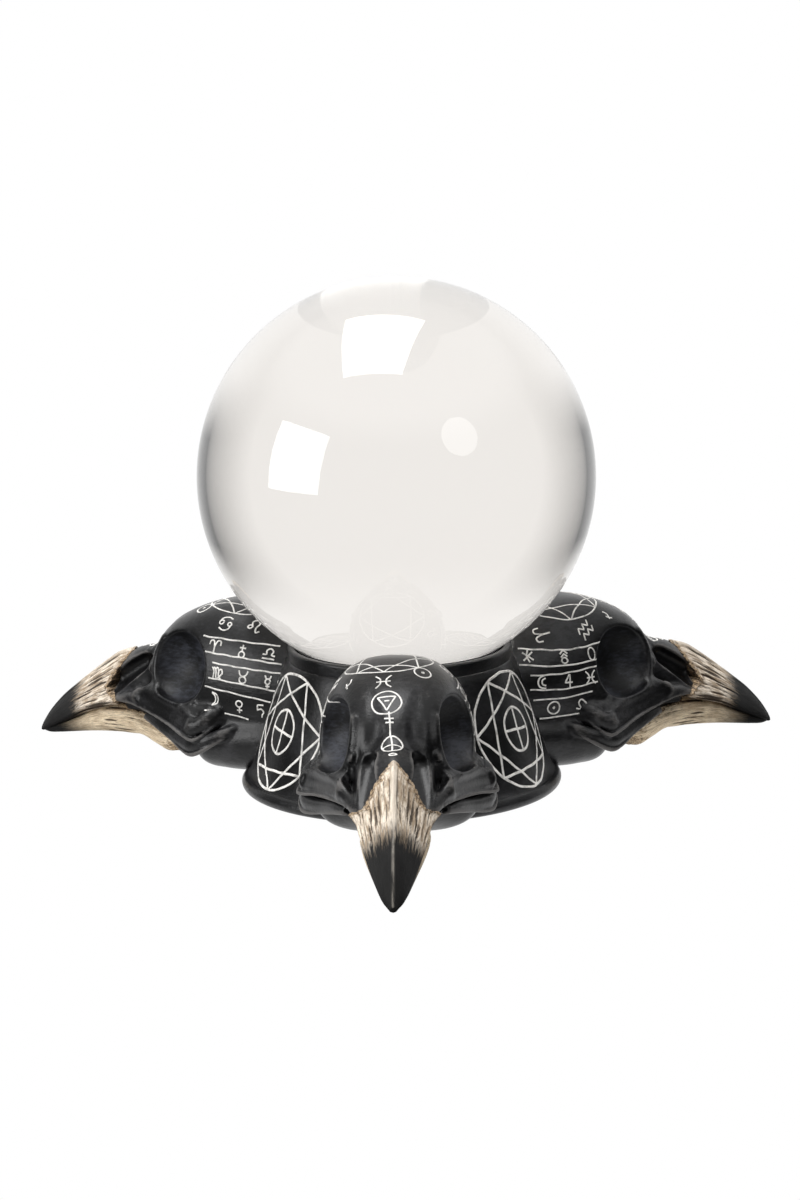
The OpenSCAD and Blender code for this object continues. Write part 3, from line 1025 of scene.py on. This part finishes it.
turned("neck_collar", [(COLLAR_R - 2.0, DRUM_TOP - 0.4), (COLLAR_R - 0.15, DRUM_TOP - 0.4)]
       + arc((COLLAR_R - 0.75, COLLAR_TOP - 0.75), 0.75, 0, 90, 6)
       + arc((COLLAR_R - 1.35, COLLAR_TOP - 0.65), 0.65, 90, 180, 5),
       drum_paint, "collar", "stand")

# %% [markdown]
# ## Cushion and felt
# A ring of soft black felt lies under the ball, dished to fit it, and a black felt disc covers the base so
# that the stand does not scratch a table. Both are matt, with a fine fuzz.

# %% Lay the felt and the cushion
SEAT_GAP = 0.15


def felt_material(name, colour):
    """Matt felt, lighter where a fibre catches the light."""
    s = Shader(name)
    place = s.object_place()
    fuzz = s.noise(place, 2600.0, 4.0, 0.7)
    patch = s.noise(place, 160.0)
    s.set(Base_Color=s.blend(fuzz, colour, tuple(min(1, 2.4 * c) for c in colour)),
          Roughness=0.9 + 0.1 * patch, Specular_IOR_Level=0.2, Normal=s.bump(fuzz, 0.5, 0.0003))
    return s.material


cushion_felt = felt_material("cushion_felt", (0.012, 0.012, 0.013))
base_felt = felt_material("base_felt_black", (0.010, 0.010, 0.010))
turned("base_felt_disc", [(0, 0), (FELT_R - 0.3, 0), (FELT_R, 0.3), (FELT_R, FELT_T), (0, FELT_T)],
       base_felt, "base_felt", "stand")
cushion_low, cushion_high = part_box("cushion_ring")
CUSHION_R = cushion_high.x / MM
CUSHION_Z = cushion_low.z / MM
seat_r = np.linspace(CUSHION_R - SEAT_GAP, CUP_R, 12)
seat = [(r, BALL_Z - math.sqrt((BALL_R + SEAT_GAP) ** 2 - r * r)) for r in seat_r]
turned("cushion", [(CUP_R, CUSHION_Z), (CUSHION_R, CUSHION_Z), (CUSHION_R, seat[0][1] - 0.1)] + seat,
       cushion_felt, "cushion_ring", "cushion")

# %% [markdown]
# ## Glass
# The ball is solid, crystal clear and very faintly warm: one closed sphere with a refractive index of 1.5.
# Thick glass goes dark towards its left and right rims, where it gathers the dim sides of a room, and stays
# light above. Here the room is white on every side, so that grey is painted shade in the glass's own colour:
# Layer Weight says how slanted the surface lies, the colour darkens towards the rims, and the painted shade
# fades out where the surface faces up or down.

# %% Make the glass
GLASS_TINT = (0.89, 0.86, 0.825)
GLASS_RIM_SHADE = (0.008, 0.008, 0.008)


def clear_glass():
    """Clear glass with painted shade towards its upright rims."""
    s = Shader("clear_glass")
    slant = s.add("ShaderNodeLayerWeight", output="Facing")
    # painted shade: the glass's colour darkens where the surface slants away, standing for the dim sides of a
    # room
    rim = s.add("ShaderNodeMapRange", {}, (slant, 0.32, 0.70, 0.0, 1.0))
    normal = s.add("ShaderNodeNewGeometry", output="Normal")
    level = s.add("ShaderNodeSeparateXYZ", {}, (normal,), output="Z").size()
    tint_and_rim_shade = s.blend(rim * (1 - s.between(level, 0.25, 0.62)), GLASS_TINT, GLASS_RIM_SHADE)
    s.set(Base_Color=tint_and_rim_shade, Roughness=0.0, IOR=1.5, Transmission_Weight=1.0)
    return s.material


def sphere(name, centre, radius, columns, rows, material):
    """A closed ball of rows and columns, with one point at each pole."""
    lat = np.linspace(0, math.pi, rows + 1)[1:-1]
    lon = np.linspace(0, 2 * math.pi, columns, endpoint=False)
    body = np.stack([np.outer(np.sin(lat), np.cos(lon)), np.outer(np.sin(lat), np.sin(lon)),
                     np.outer(np.cos(lat), np.ones(columns))], axis=2).reshape(-1, 3)
    points = np.concatenate([[[0, 0, 1]], body, [[0, 0, -1]]]) * radius + np.array(centre)

    def ring_at(row, col):
        return 1 + row * columns + col % columns

    faces = [(0, ring_at(0, c), ring_at(0, c + 1)) for c in range(columns)]
    faces += [(ring_at(r, c), ring_at(r + 1, c), ring_at(r + 1, c + 1), ring_at(r, c + 1))
              for r in range(rows - 2) for c in range(columns)]
    last = len(points) - 1
    faces += [(last, ring_at(rows - 2, c + 1), ring_at(rows - 2, c)) for c in range(columns)]
    normals = (points - np.array(centre)) / radius
    return build(name, points, faces, normals=normals, material=material)


glass = sphere("glass_sphere", (0, 0, BALL_Z), BALL_R, 320, 160, clear_glass())
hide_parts("glass_ball")
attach(glass, "ball")
print("glass:", len(glass.data.polygons), "faces")

# %% [markdown]
# ## Painted signs
# The white signs are lettered by hand with a fine brush: rings with seven-pointed stars, ruled lines, and the
# old signs of the planets and the zodiac. A texture would need an unwrapped model, so the strokes are real:
# each is a line of points laid on the surface, and one Geometry Nodes tree gives every line a round body of
# uneven width and presses it flat, so that the paint stands only a hair above the resin. A stroke is a line,
# a smooth curve or a ring.

# %% Draw strokes
def curve(*points):
    """A smooth stroke through the points."""
    at = np.array(points, float)
    if len(at) < 3:
        return at
    length = np.r_[0, np.cumsum(np.linalg.norm(np.diff(at, axis=0), axis=1))]
    steps = np.linspace(0, length[-1], 8 * len(at))
    return np.stack([along_curve(steps, length, column) for column in at.T], axis=1)


def round_stroke(x, y, rx, ry=None, start=0, stop=360):
    """A ring or a part of one, in degrees."""
    a = np.radians(np.linspace(start, stop, 49))
    return np.stack([x + rx * np.cos(a), y + (ry or rx) * np.sin(a)], axis=1)


def line(*points):
    """A straight or cornered stroke."""
    return np.array(points, float)


def both_sides(stroke):
    """A stroke and its mirror image."""
    return [stroke, stroke * [-1, 1]]


print("points on a ring:", len(round_stroke(0, 0, 1)))

# %% [markdown]
# Each sign is drawn in a square that runs from -0.5 to 0.5, so one number sizes it later.

# %% Draw the signs
SIGNS = {
    "ram": both_sides(curve((-0.5, 0.1), (-0.44, 0.42), (-0.2, 0.45), (-0.05, 0.15), (0, -0.5))),
    "orb": [
        round_stroke(0, -0.24, 0.26),
        line((0, 0.02), (0, 0.54)),
        line((-0.24, 0.28), (0.24, 0.28)),
    ],
    "scales": [
        line((-0.5, -0.42), (0.5, -0.42)),
        curve((-0.5, -0.15), (-0.2, -0.12), (-0.27, 0.2), (0, 0.42), (0.27, 0.2), (0.2, -0.12),
              (0.5, -0.15)),
    ],
    "maiden": [
        curve((-0.5, 0.4), (-0.4, 0.3), (-0.4, -0.4)),
        curve((-0.4, 0.2), (-0.27, 0.42), (-0.16, 0.2), (-0.16, -0.4)),
        curve((-0.16, 0.2), (-0.03, 0.42), (0.08, 0.2), (0.08, -0.25), (0.32, -0.5)),
        curve((0.08, 0.1), (0.3, 0.28), (0.42, 0.02), (0.22, -0.22), (-0.02, -0.45)),
    ],
    "bull": [
        round_stroke(0, -0.2, 0.27),
        curve((-0.38, 0.5), (-0.22, 0.16), (0, 0.07), (0.22, 0.16), (0.38, 0.5)),
    ],
    "messenger": [
        round_stroke(0, 0.02, 0.2),
        line((0, -0.18), (0, -0.5)),
        line((-0.16, -0.34), (0.16, -0.34)),
        curve((-0.26, 0.5), (-0.12, 0.26), (0.12, 0.26), (0.26, 0.5)),
    ],
    "moon": [
        curve((-0.25, 0.5), (0.2, 0.3), (0.3, 0), (0.2, -0.3), (-0.25, -0.5)),
        curve((-0.25, 0.5), (0.02, 0.22), (0.02, -0.22), (-0.25, -0.5)),
    ],
    "mirror": [
        round_stroke(0, 0.2, 0.26),
        line((0, -0.06), (0, -0.5)),
        line((-0.22, -0.28), (0.22, -0.28)),
    ],
    "sickle": [
        line((0.3, 0.46), (-0.2, 0.46), (-0.24, 0.05)),
        curve((-0.24, 0.05), (0.1, 0.14), (0.27, -0.1), (0.1, -0.32), (0.08, -0.5)),
    ],
    "crab": [
        round_stroke(-0.26, 0.14, 0.14),
        curve((-0.4, 0.18), (-0.15, 0.46), (0.2, 0.46), (0.46, 0.22)),
        round_stroke(0.26, -0.14, 0.14),
        curve((0.4, -0.18), (0.15, -0.46), (-0.2, -0.46), (-0.46, -0.22)),
    ],
    "lion": [
        round_stroke(-0.27, -0.12, 0.14),
        curve((-0.17, -0.02), (-0.28, 0.3), (-0.02, 0.5), (0.22, 0.3), (0.12, -0.2), (0.26, -0.46),
              (0.46, -0.3)),
    ],
    "star": [
        line((-0.35, 0.35), (0.35, -0.35)),
        line((-0.4, -0.25), (0.4, 0.25)),
        curve((0.1, 0.5), (-0.12, 0), (0.05, -0.5)),
    ],
    "arrow": [
        round_stroke(0, -0.26, 0.24),
        line((-0.3, 0.24), (0, 0.54), (0.3, 0.24)),
        line((-0.26, 0), (0, 0.26), (0.26, 0)),
    ],
    "egg": [round_stroke(0, 0, 0.3, 0.5)],
    "two_moons": [
        curve((0.3, 0.5), (-0.2, 0.3), (-0.32, 0), (-0.2, -0.3), (0.3, -0.5)),
        curve((0.32, 0.3), (0.02, 0.15), (0.02, -0.15), (0.32, -0.3)),
    ],
    "four": [
        line((0.12, 0.5), (-0.32, -0.12), (0.36, -0.12)),
        line((0.12, 0.5), (0.12, -0.5)),
    ],
    "fishes": both_sides(curve((-0.42, 0.5), (-0.16, 0.2), (-0.16, -0.2), (-0.42, -0.5)))
    + [line((-0.36, 0), (0.36, 0))],
    "sun": [round_stroke(0, 0, 0.48), round_stroke(0, 0, 0.07)],
    "waves": [
        line((-0.5, 0.1), (-0.3, 0.4), (-0.12, 0.12), (0.08, 0.4), (0.26, 0.12), (0.46, 0.4)),
        line((-0.5, -0.3), (-0.3, 0), (-0.12, -0.28), (0.08, 0), (0.26, -0.28), (0.46, 0)),
    ],
    "tick": [curve((-0.4, 0.3), (0, 0.1), (0.1, -0.4)), line((-0.3, -0.2), (0.4, -0.3))],
}
print("signs:", ", ".join(SIGNS))

# %% [markdown]
# A star wheel is a ring with seven corners on it, each joined to the second one along. The corners are not
# evenly spaced, because they were set out by eye. Each number is a corner's direction in degrees from the
# top.

# %% Draw a star wheel
DRUM_STAR = (-25, 22, 86, 129, 176, -136, -88)
HEAD_STAR = (-6, 42, 97, 150, -155, -100, -45)


def medallion(radius, turns, heart=0.38):
    """A ring with a seven-pointed star in it, and a small crossed ring at its heart."""
    corners = [radius * np.array([math.sin(math.radians(a)), math.cos(math.radians(a))]) for a in turns]
    strokes = [round_stroke(0, 0, radius)]
    strokes += [line(corners[i], corners[(i + 2) % 7]) for i in range(7)]
    if heart:
        tall, wide = radius * heart, radius * heart * 0.9
        strokes += [round_stroke(0, 0, wide, tall), line((0, -tall), (0.02 * radius, tall)),
                    line((-wide, 0.03 * radius), (wide, -0.03 * radius))]
    return strokes


print("strokes in a wheel:", len(medallion(1, DRUM_STAR)))

# %% [markdown]
# ## Lay the strokes on the skull
# A stroke is first given even points and the slight shake of a hand. Then it is held in front of the skull
# like a stencil, and each point is shot straight at the bone, so it lands on the curved surface. The skull is
# the sculpted one in its own frame, in millimetres.

# %% Press strokes on the bone
def spaced(stroke, step=0.4):
    """The stroke with points at an even spacing, and the slight shake of a hand."""
    length = np.r_[0, np.cumsum(np.linalg.norm(np.diff(stroke, axis=0), axis=1))]
    at = np.linspace(0, length[-1], max(3, int(length[-1] / step) + 1))
    even = np.stack([np.interp(at, length, column) for column in stroke.T], axis=1)
    shake = [0.07 * np.sin(at * rng.uniform(0.5, 1.2) + rng.uniform(0, 6)) for _ in range(stroke.shape[1])]
    return even + np.stack(shake, axis=1)


SKIN = BVHTree.FromPolygons([Vector(p) for p in cranium_points], [tuple(f) for f in cranium_faces])


def on_skull(centre, right, size, strokes, tilt=0.0):
    """Strokes drawn in the plane that touches the skull at a place, then pressed on to the skull."""
    spot, normal, _, _ = SKIN.find_nearest(Vector(centre))
    across = Vector(right)
    across = (across - normal * across.dot(normal)).normalized()
    up = normal.cross(across)
    c, s = math.cos(math.radians(tilt)), math.sin(math.radians(tilt))
    laid = []
    for stroke in strokes:
        points = []
        for a, b in spaced(np.asarray(stroke) * size):
            start = spot + across * (a * c - b * s) + up * (a * s + b * c) + normal * 12
            hit = SKIN.ray_cast(start, -normal, 30)[0]
            if hit:
                points.append(hit)
        laid.append(points)
    return laid


def ruled(side, stops):
    """A long line on a skull's side, through stops of (x, z)."""
    laid = []
    for x, z in spaced(curve(*stops)):
        hit = SKIN.ray_cast(Vector((x, side * 40, z)), Vector((0, -side, 0)), 60)[0]
        if hit:
            laid.append(hit)
    return [laid]


print("the skin to draw on has", len(cranium_faces), "faces")

# %% [markdown]
# Both sides of the head carry three bands of ruled lines with a row of signs in each, the crown carries a
# star wheel with a few signs round it, and a chain of small figures runs down the bridge to the beak. The
# lines are given by stops of distance out and height, and the signs by their places.

# %% Draw on the skull
SIDE_SIGN = 3.7
LEFT_LINES = [
    [(55, 40.2), (43, 39.8), (31, 39)], [(53, 36.2), (40, 35.5), (29, 34.4)],
    [(50, 33.5), (40, 32.9), (28, 32)], [(51, 29.3), (40, 28.4), (29, 27.1)],
    [(52, 26.7), (42, 25.6), (31, 24)], [(51, 20.4), (49, 20.2), (48, 20)],
    [(45.5, 19.6), (42, 19.1), (38, 18.4)],
]
RIGHT_LINES = [
    [(56.5, 37.3), (46, 36.4), (30, 37.6)], [(53, 32.7), (41, 32.3), (29, 33.5)],
    [(52.5, 31), (42, 30.2), (31.6, 30.4)], [(52.4, 26.6), (42, 25.8), (31.2, 26.5)],
    [(50.5, 24), (41, 23.3), (32, 23.5)], [(50, 18.6), (42, 18), (34, 18)],
]
LEFT_SIGNS = [
    ("ram", 50.1, 16.9, 37.5), ("orb", 41.2, 16.8, 36.9), ("scales", 33.3, 15, 36.7),
    ("maiden", 47.9, 19.7, 30.9), ("bull", 39.7, 19.2, 30.3), ("messenger", 32.2, 18.1, 29.5),
    ("moon", 48.6, 20.5, 23.4), ("mirror", 40.7, 20, 22), ("sickle", 34.3, 19, 21.2),
]
RIGHT_SIGNS = [
    ("star", 32.2, 15.6, 35.3), ("arrow", 42.4, 18.2, 34.4), ("egg", 51.2, 18.7, 34.4),
    ("two_moons", 34.8, 18.8, 28.3), ("four", 42.8, 20, 27.9), ("fishes", 50, 20.2, 28.1),
    ("sun", 38.1, 19.7, 20.7), ("scales", 46.9, 20.1, 20.7),
]
TOP_SIGNS = [
    ("crab", 49.1, 13.2, 43.6, 4.6, 20), ("lion", 40.4, 11.4, 43.1, 4.6, 0),
    ("ram", 38, -14, 40.7, 4.6, 90), ("waves", 51.5, -15.9, 40.6, 5.4, 35),
    ("tick", 60.8, -11.8, 43, 3.4, 0),
]
FACE_SIGNS = [
    ("fishes", 65.4, -2.9, 44.8, 5, 0), ("sun", 60.4, 7.2, 45.8, 4.8, 0),
]
skull_strokes = []
for stops in LEFT_LINES:
    skull_strokes += ruled(1, stops)
for stops in RIGHT_LINES:
    skull_strokes += ruled(-1, stops)
for sign, x, y, z in LEFT_SIGNS:
    skull_strokes += on_skull((x, y, z), (-1, 0, 0), SIDE_SIGN, SIGNS[sign])
for sign, x, y, z in RIGHT_SIGNS:
    skull_strokes += on_skull((x, -y, z), (1, 0, 0), SIDE_SIGN, SIGNS[sign])
for sign, x, y, z, size, tilt in TOP_SIGNS:
    skull_strokes += on_skull((x, y, z), (-1 if y > 0 else 1, 0, 0), size, SIGNS[sign], tilt)
for sign, x, y, z, size, tilt in FACE_SIGNS:
    skull_strokes += on_skull((x, y, z), (0, 1, 0), size, SIGNS[sign], tilt)
CROWN_WHEEL = [stroke * [1, -1] for stroke in medallion(11.8, HEAD_STAR, 0)]
RINGED_TRIANGLE = [
    round_stroke(0, 0, 1),
    line((-0.62, 0.45), (0.6, 0.5), (0.02, -0.72), (-0.62, 0.45)),
    line((-0.16, 0.1), (0.2, 0.1)),
]
BARRED_STAFF = [
    line((-0.1, 3), (0.3, -4.4)),
    line((-1.3, 0.9), (1.1, 0.9)),
    line((-1.1, -0.3), (1.1, -0.3)),
]
SPLIT_RING = [
    round_stroke(0, 0, 1),
    line((-0.05, 1), (0.05, -1)),
    round_stroke(0, -0.35, 0.92, 0.4, 10, 170),
]
for spot, size, strokes in (
    ((49.5, -1.8, 47.6), 1, CROWN_WHEEL),
    ((72.5, -2.0, 41.1), 3.85, RINGED_TRIANGLE),
    ((77.5, -1.3, 37.4), 1, BARRED_STAFF),
    ((82.3, -0.6, 32.4), 2.7, SPLIT_RING),
    ((86.6, -0.3, 30.6), 1, [round_stroke(0, 0, 1, 0.5)]),
):
    skull_strokes += on_skull(spot, (0, 1, 0), size, strokes)
skull_strokes = [stroke for stroke in skull_strokes if len(stroke) > 2]
print("strokes on a skull:", len(skull_strokes))

# %% [markdown]
# ## Lay the strokes on the drum
# Between each two skulls the drum carries a star wheel. Its wall is a cone, so a stroke is simply wrapped
# round it, with its height foreshortened by the wall's slope. Two short strokes beside it are brush marks.

# %% Draw on the drum
def on_drum(facing, centre_z, strokes):
    """Strokes drawn on the drum's cone, with a facing in degrees about the axis."""
    slope = math.atan(CONE_TAPER)
    laid = []
    for stroke in strokes:
        points = []
        for a, b in spaced(stroke):
            z = centre_z + b * math.cos(slope)
            r = cone_radius(z)
            turn = math.radians(facing) + a / r
            points.append(Vector((r * math.cos(turn), r * math.sin(turn), z)))
        laid.append(points)
    return laid


WHEEL_R = 16.2
WHEEL_Z = 20
BRUSH_MARKS = [line((-18.2, 9), (-17.4, 5.6)), line((-17.2, 10.5), (-16.9, 10))]
drum_strokes = []
for facing in (-30, -150, 90):
    drum_strokes += on_drum(facing, WHEEL_Z, medallion(WHEEL_R, DRUM_STAR))
    drum_strokes += on_drum(facing, WHEEL_Z, BRUSH_MARKS)
print("strokes on the drum:", len(drum_strokes))

# %% [markdown]
# ## Grow paint on the strokes
# The tree takes lines of points, turns them into curves, gives them a round section whose size wavers, and
# then moves every point most of the way to the nearest point of the surface below. Its inputs have names, so
# the same tree serves the thin strokes of the skulls and the broader ones of the drum.

# %% Build the brush tree
def paint_tree():
    """Lines in, strokes of paint that lie on a surface out."""
    tree = bpy.data.node_groups.new("brush_strokes", "GeometryNodeTree")
    for name, kind, value in (
        ("Lines", "NodeSocketGeometry", None),
        ("Surface", "NodeSocketObject", None),
        ("Brush Width", "NodeSocketFloat", 0.0007),
        ("Unevenness", "NodeSocketFloat", 0.5),
        ("Height Kept", "NodeSocketFloat", 0.3),
        ("Paint", "NodeSocketMaterial", None),
    ):
        socket = tree.interface.new_socket(name, in_out="INPUT", socket_type=kind)
        if value is not None:
            socket.default_value = value
    tree.interface.new_socket("Geometry", in_out="OUTPUT", socket_type="NodeSocketGeometry")

    def node(kind, links=(), **settings):
        made = tree.nodes.new(kind)
        for key, value in settings.items():
            setattr(made, key, value)
        for key, value in dict(links).items():
            if hasattr(value, "is_output"):
                tree.links.new(value, made.inputs[key])
            else:
                made.inputs[key].default_value = value
        return made

    given = node("NodeGroupInput").outputs
    curves = node("GeometryNodeMeshToCurve", {"Mesh": given["Lines"]}).outputs[0]
    waver = node("ShaderNodeTexNoise", {"Scale": 700.0, "Detail": 2.0}).outputs[0]
    centred = node("ShaderNodeMath", {0: waver, 1: 0.5}, operation="SUBTRACT").outputs[0]
    swing = node("ShaderNodeMath", {0: centred, 1: given["Unevenness"]}, operation="MULTIPLY").outputs[0]
    thick = node("ShaderNodeMath", {0: swing, 1: 1.0}, operation="ADD").outputs[0]
    sized = node("GeometryNodeSetCurveRadius", {"Curve": curves, "Radius": thick}).outputs[0]
    half = node("ShaderNodeMath", {0: given["Brush Width"], 1: 0.5}, operation="MULTIPLY").outputs[0]
    section = node("GeometryNodeCurvePrimitiveCircle", {"Resolution": 6, "Radius": half}).outputs[0]
    swept = {"Curve": sized, "Profile Curve": section, "Fill Caps": True}
    body = node("GeometryNodeCurveToMesh", swept).outputs[0]
    below = node("GeometryNodeObjectInfo", {"Object": given["Surface"]}).outputs["Geometry"]
    near = node("GeometryNodeProximity", {0: below}, target_element="FACES").outputs["Position"]
    here = node("GeometryNodeInputPosition").outputs[0]
    mix = node("ShaderNodeMix", data_type="VECTOR")
    tree.links.new(given["Height Kept"], mix.inputs["Factor"])
    tree.links.new(near, mix.inputs[4])
    tree.links.new(here, mix.inputs[5])
    pressed = node("GeometryNodeSetPosition", {"Geometry": body, "Position": mix.outputs[1]}).outputs[0]
    real = node("GeometryNodeRealizeInstances", {"Geometry": pressed}).outputs[0]
    painted = node("GeometryNodeSetMaterial", {"Geometry": real, "Material": given["Paint"]}).outputs[0]
    node("NodeGroupOutput", {0: painted})
    return tree


STROKE_TREE = paint_tree()
print("nodes in the brush tree:", len(STROKE_TREE.nodes))

# %% [markdown]
# The paint is an off-white that covers unevenly. Each body of strokes is made by the tree from its lines,
# turned into a plain mesh, and given to the stand. A modifier's input is set by its socket's identifier,
# before the object is first evaluated.

# %% Paint the signs
OFF_WHITE = (0.92, 0.90, 0.86)
THIN_WHITE = (0.45, 0.44, 0.42)
FINE_BRUSH = 0.0005
BROAD_BRUSH = 0.00078


def white_paint():
    """Off-white paint that lets a little black through."""
    s = Shader("white_paint")
    place = s.object_place()
    thin = s.noise(place, 420.0, 4.0, 0.65)
    s.set(Base_Color=s.blend(s.between(thin, 0.30, 0.56), THIN_WHITE, OFF_WHITE), Roughness=0.55,
          Normal=s.bump(s.noise(place, 2400.0), 0.3, 0.0002))
    return s.material


WHITE = white_paint()


def painted(name, strokes, turn, surface, width):
    """One mesh of painted strokes, turned about the drum's axis and pressed on a surface."""
    c, s = math.cos(math.radians(turn)), math.sin(math.radians(turn))
    points, edges = [], []
    for stroke in strokes:
        first = len(points)
        points += [(MM * (p.x * c - p.y * s), MM * (p.x * s + p.y * c), MM * p.z) for p in stroke]
        edges += [(i, i + 1) for i in range(first, len(points) - 1)]
    mesh = bpy.data.meshes.new(name + "_lines")
    mesh.from_pydata(points, edges, [])
    lines = bpy.data.objects.new(name + "_lines", mesh)
    scene.collection.objects.link(lines)
    grow = lines.modifiers.new("paint", "NODES")
    grow.node_group = STROKE_TREE
    given = {"Surface": surface, "Paint": WHITE, "Brush Width": width}
    for item in STROKE_TREE.interface.items_tree:
        if item.in_out == "INPUT" and item.name in given:
            grow[item.identifier] = given[item.name]
    ready = lines.evaluated_get(bpy.context.evaluated_depsgraph_get())
    body = bpy.data.meshes.new_from_object(ready)
    bpy.data.objects.remove(lines)
    made = bpy.data.objects.new(name, body)
    scene.collection.objects.link(made)
    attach(made, "stand")
    print(f"{name}: {len(body.polygons)} faces, {body.materials[0].name}")


for skull, turn in SKULL_TURNS.items():
    painted(f"{skull}_signs", skull_strokes, turn, bpy.data.objects[f"{skull}_cranium"], FINE_BRUSH)
painted("drum_signs", drum_strokes, 0, bpy.data.objects["drum_wall"], BROAD_BRUSH)

# %% [markdown]
# ## Floor
# The floor is the lower half of the tent, a sheet that glows by itself. Each point of it is as bright as the
# tent's rule says for its direction from the object's middle, and the eye sees it plain white all the way
# back. It lies a hair below the felt.

# %% Lay the floor
FLOOR_HALF = 40
FLOOR_Z = -0.0002
OBJECT_MIDDLE = (0, 0, 0.07)
corners = [(x * FLOOR_HALF, y * FLOOR_HALF, FLOOR_Z) for x, y in ((-1, -1), (1, -1), (1, 1), (-1, 1))]
floor_mesh = bpy.data.meshes.new("floor")
floor_mesh.from_pydata(corners, [], [(0, 1, 2, 3)])
floor = bpy.data.objects.new("floor", floor_mesh)
scene.collection.objects.link(floor)
floor_shader = Shader("white_floor")
floor_shader.set(Base_Color=(0, 0, 0), Roughness=1, Specular_IOR_Level=0, Emission_Strength=1)
floor_point = floor_shader.add("ShaderNodeNewGeometry", output="Position")
minus = {"operation": "SUBTRACT"}
from_middle = floor_shader.add("ShaderNodeVectorMath", minus, (floor_point, OBJECT_MIDDLE))
outward = floor_shader.add("ShaderNodeVectorMath", {"operation": "NORMALIZE"}, (from_middle,))
floor_light = backlight(floor_shader.tree, outward.socket)
floor_shader.tree.links.new(floor_light, floor_shader.surface.inputs["Emission Color"])
floor_mesh.materials.append(floor_shader.material)
print("nodes in the floor's light:", len(floor_shader.tree.nodes))
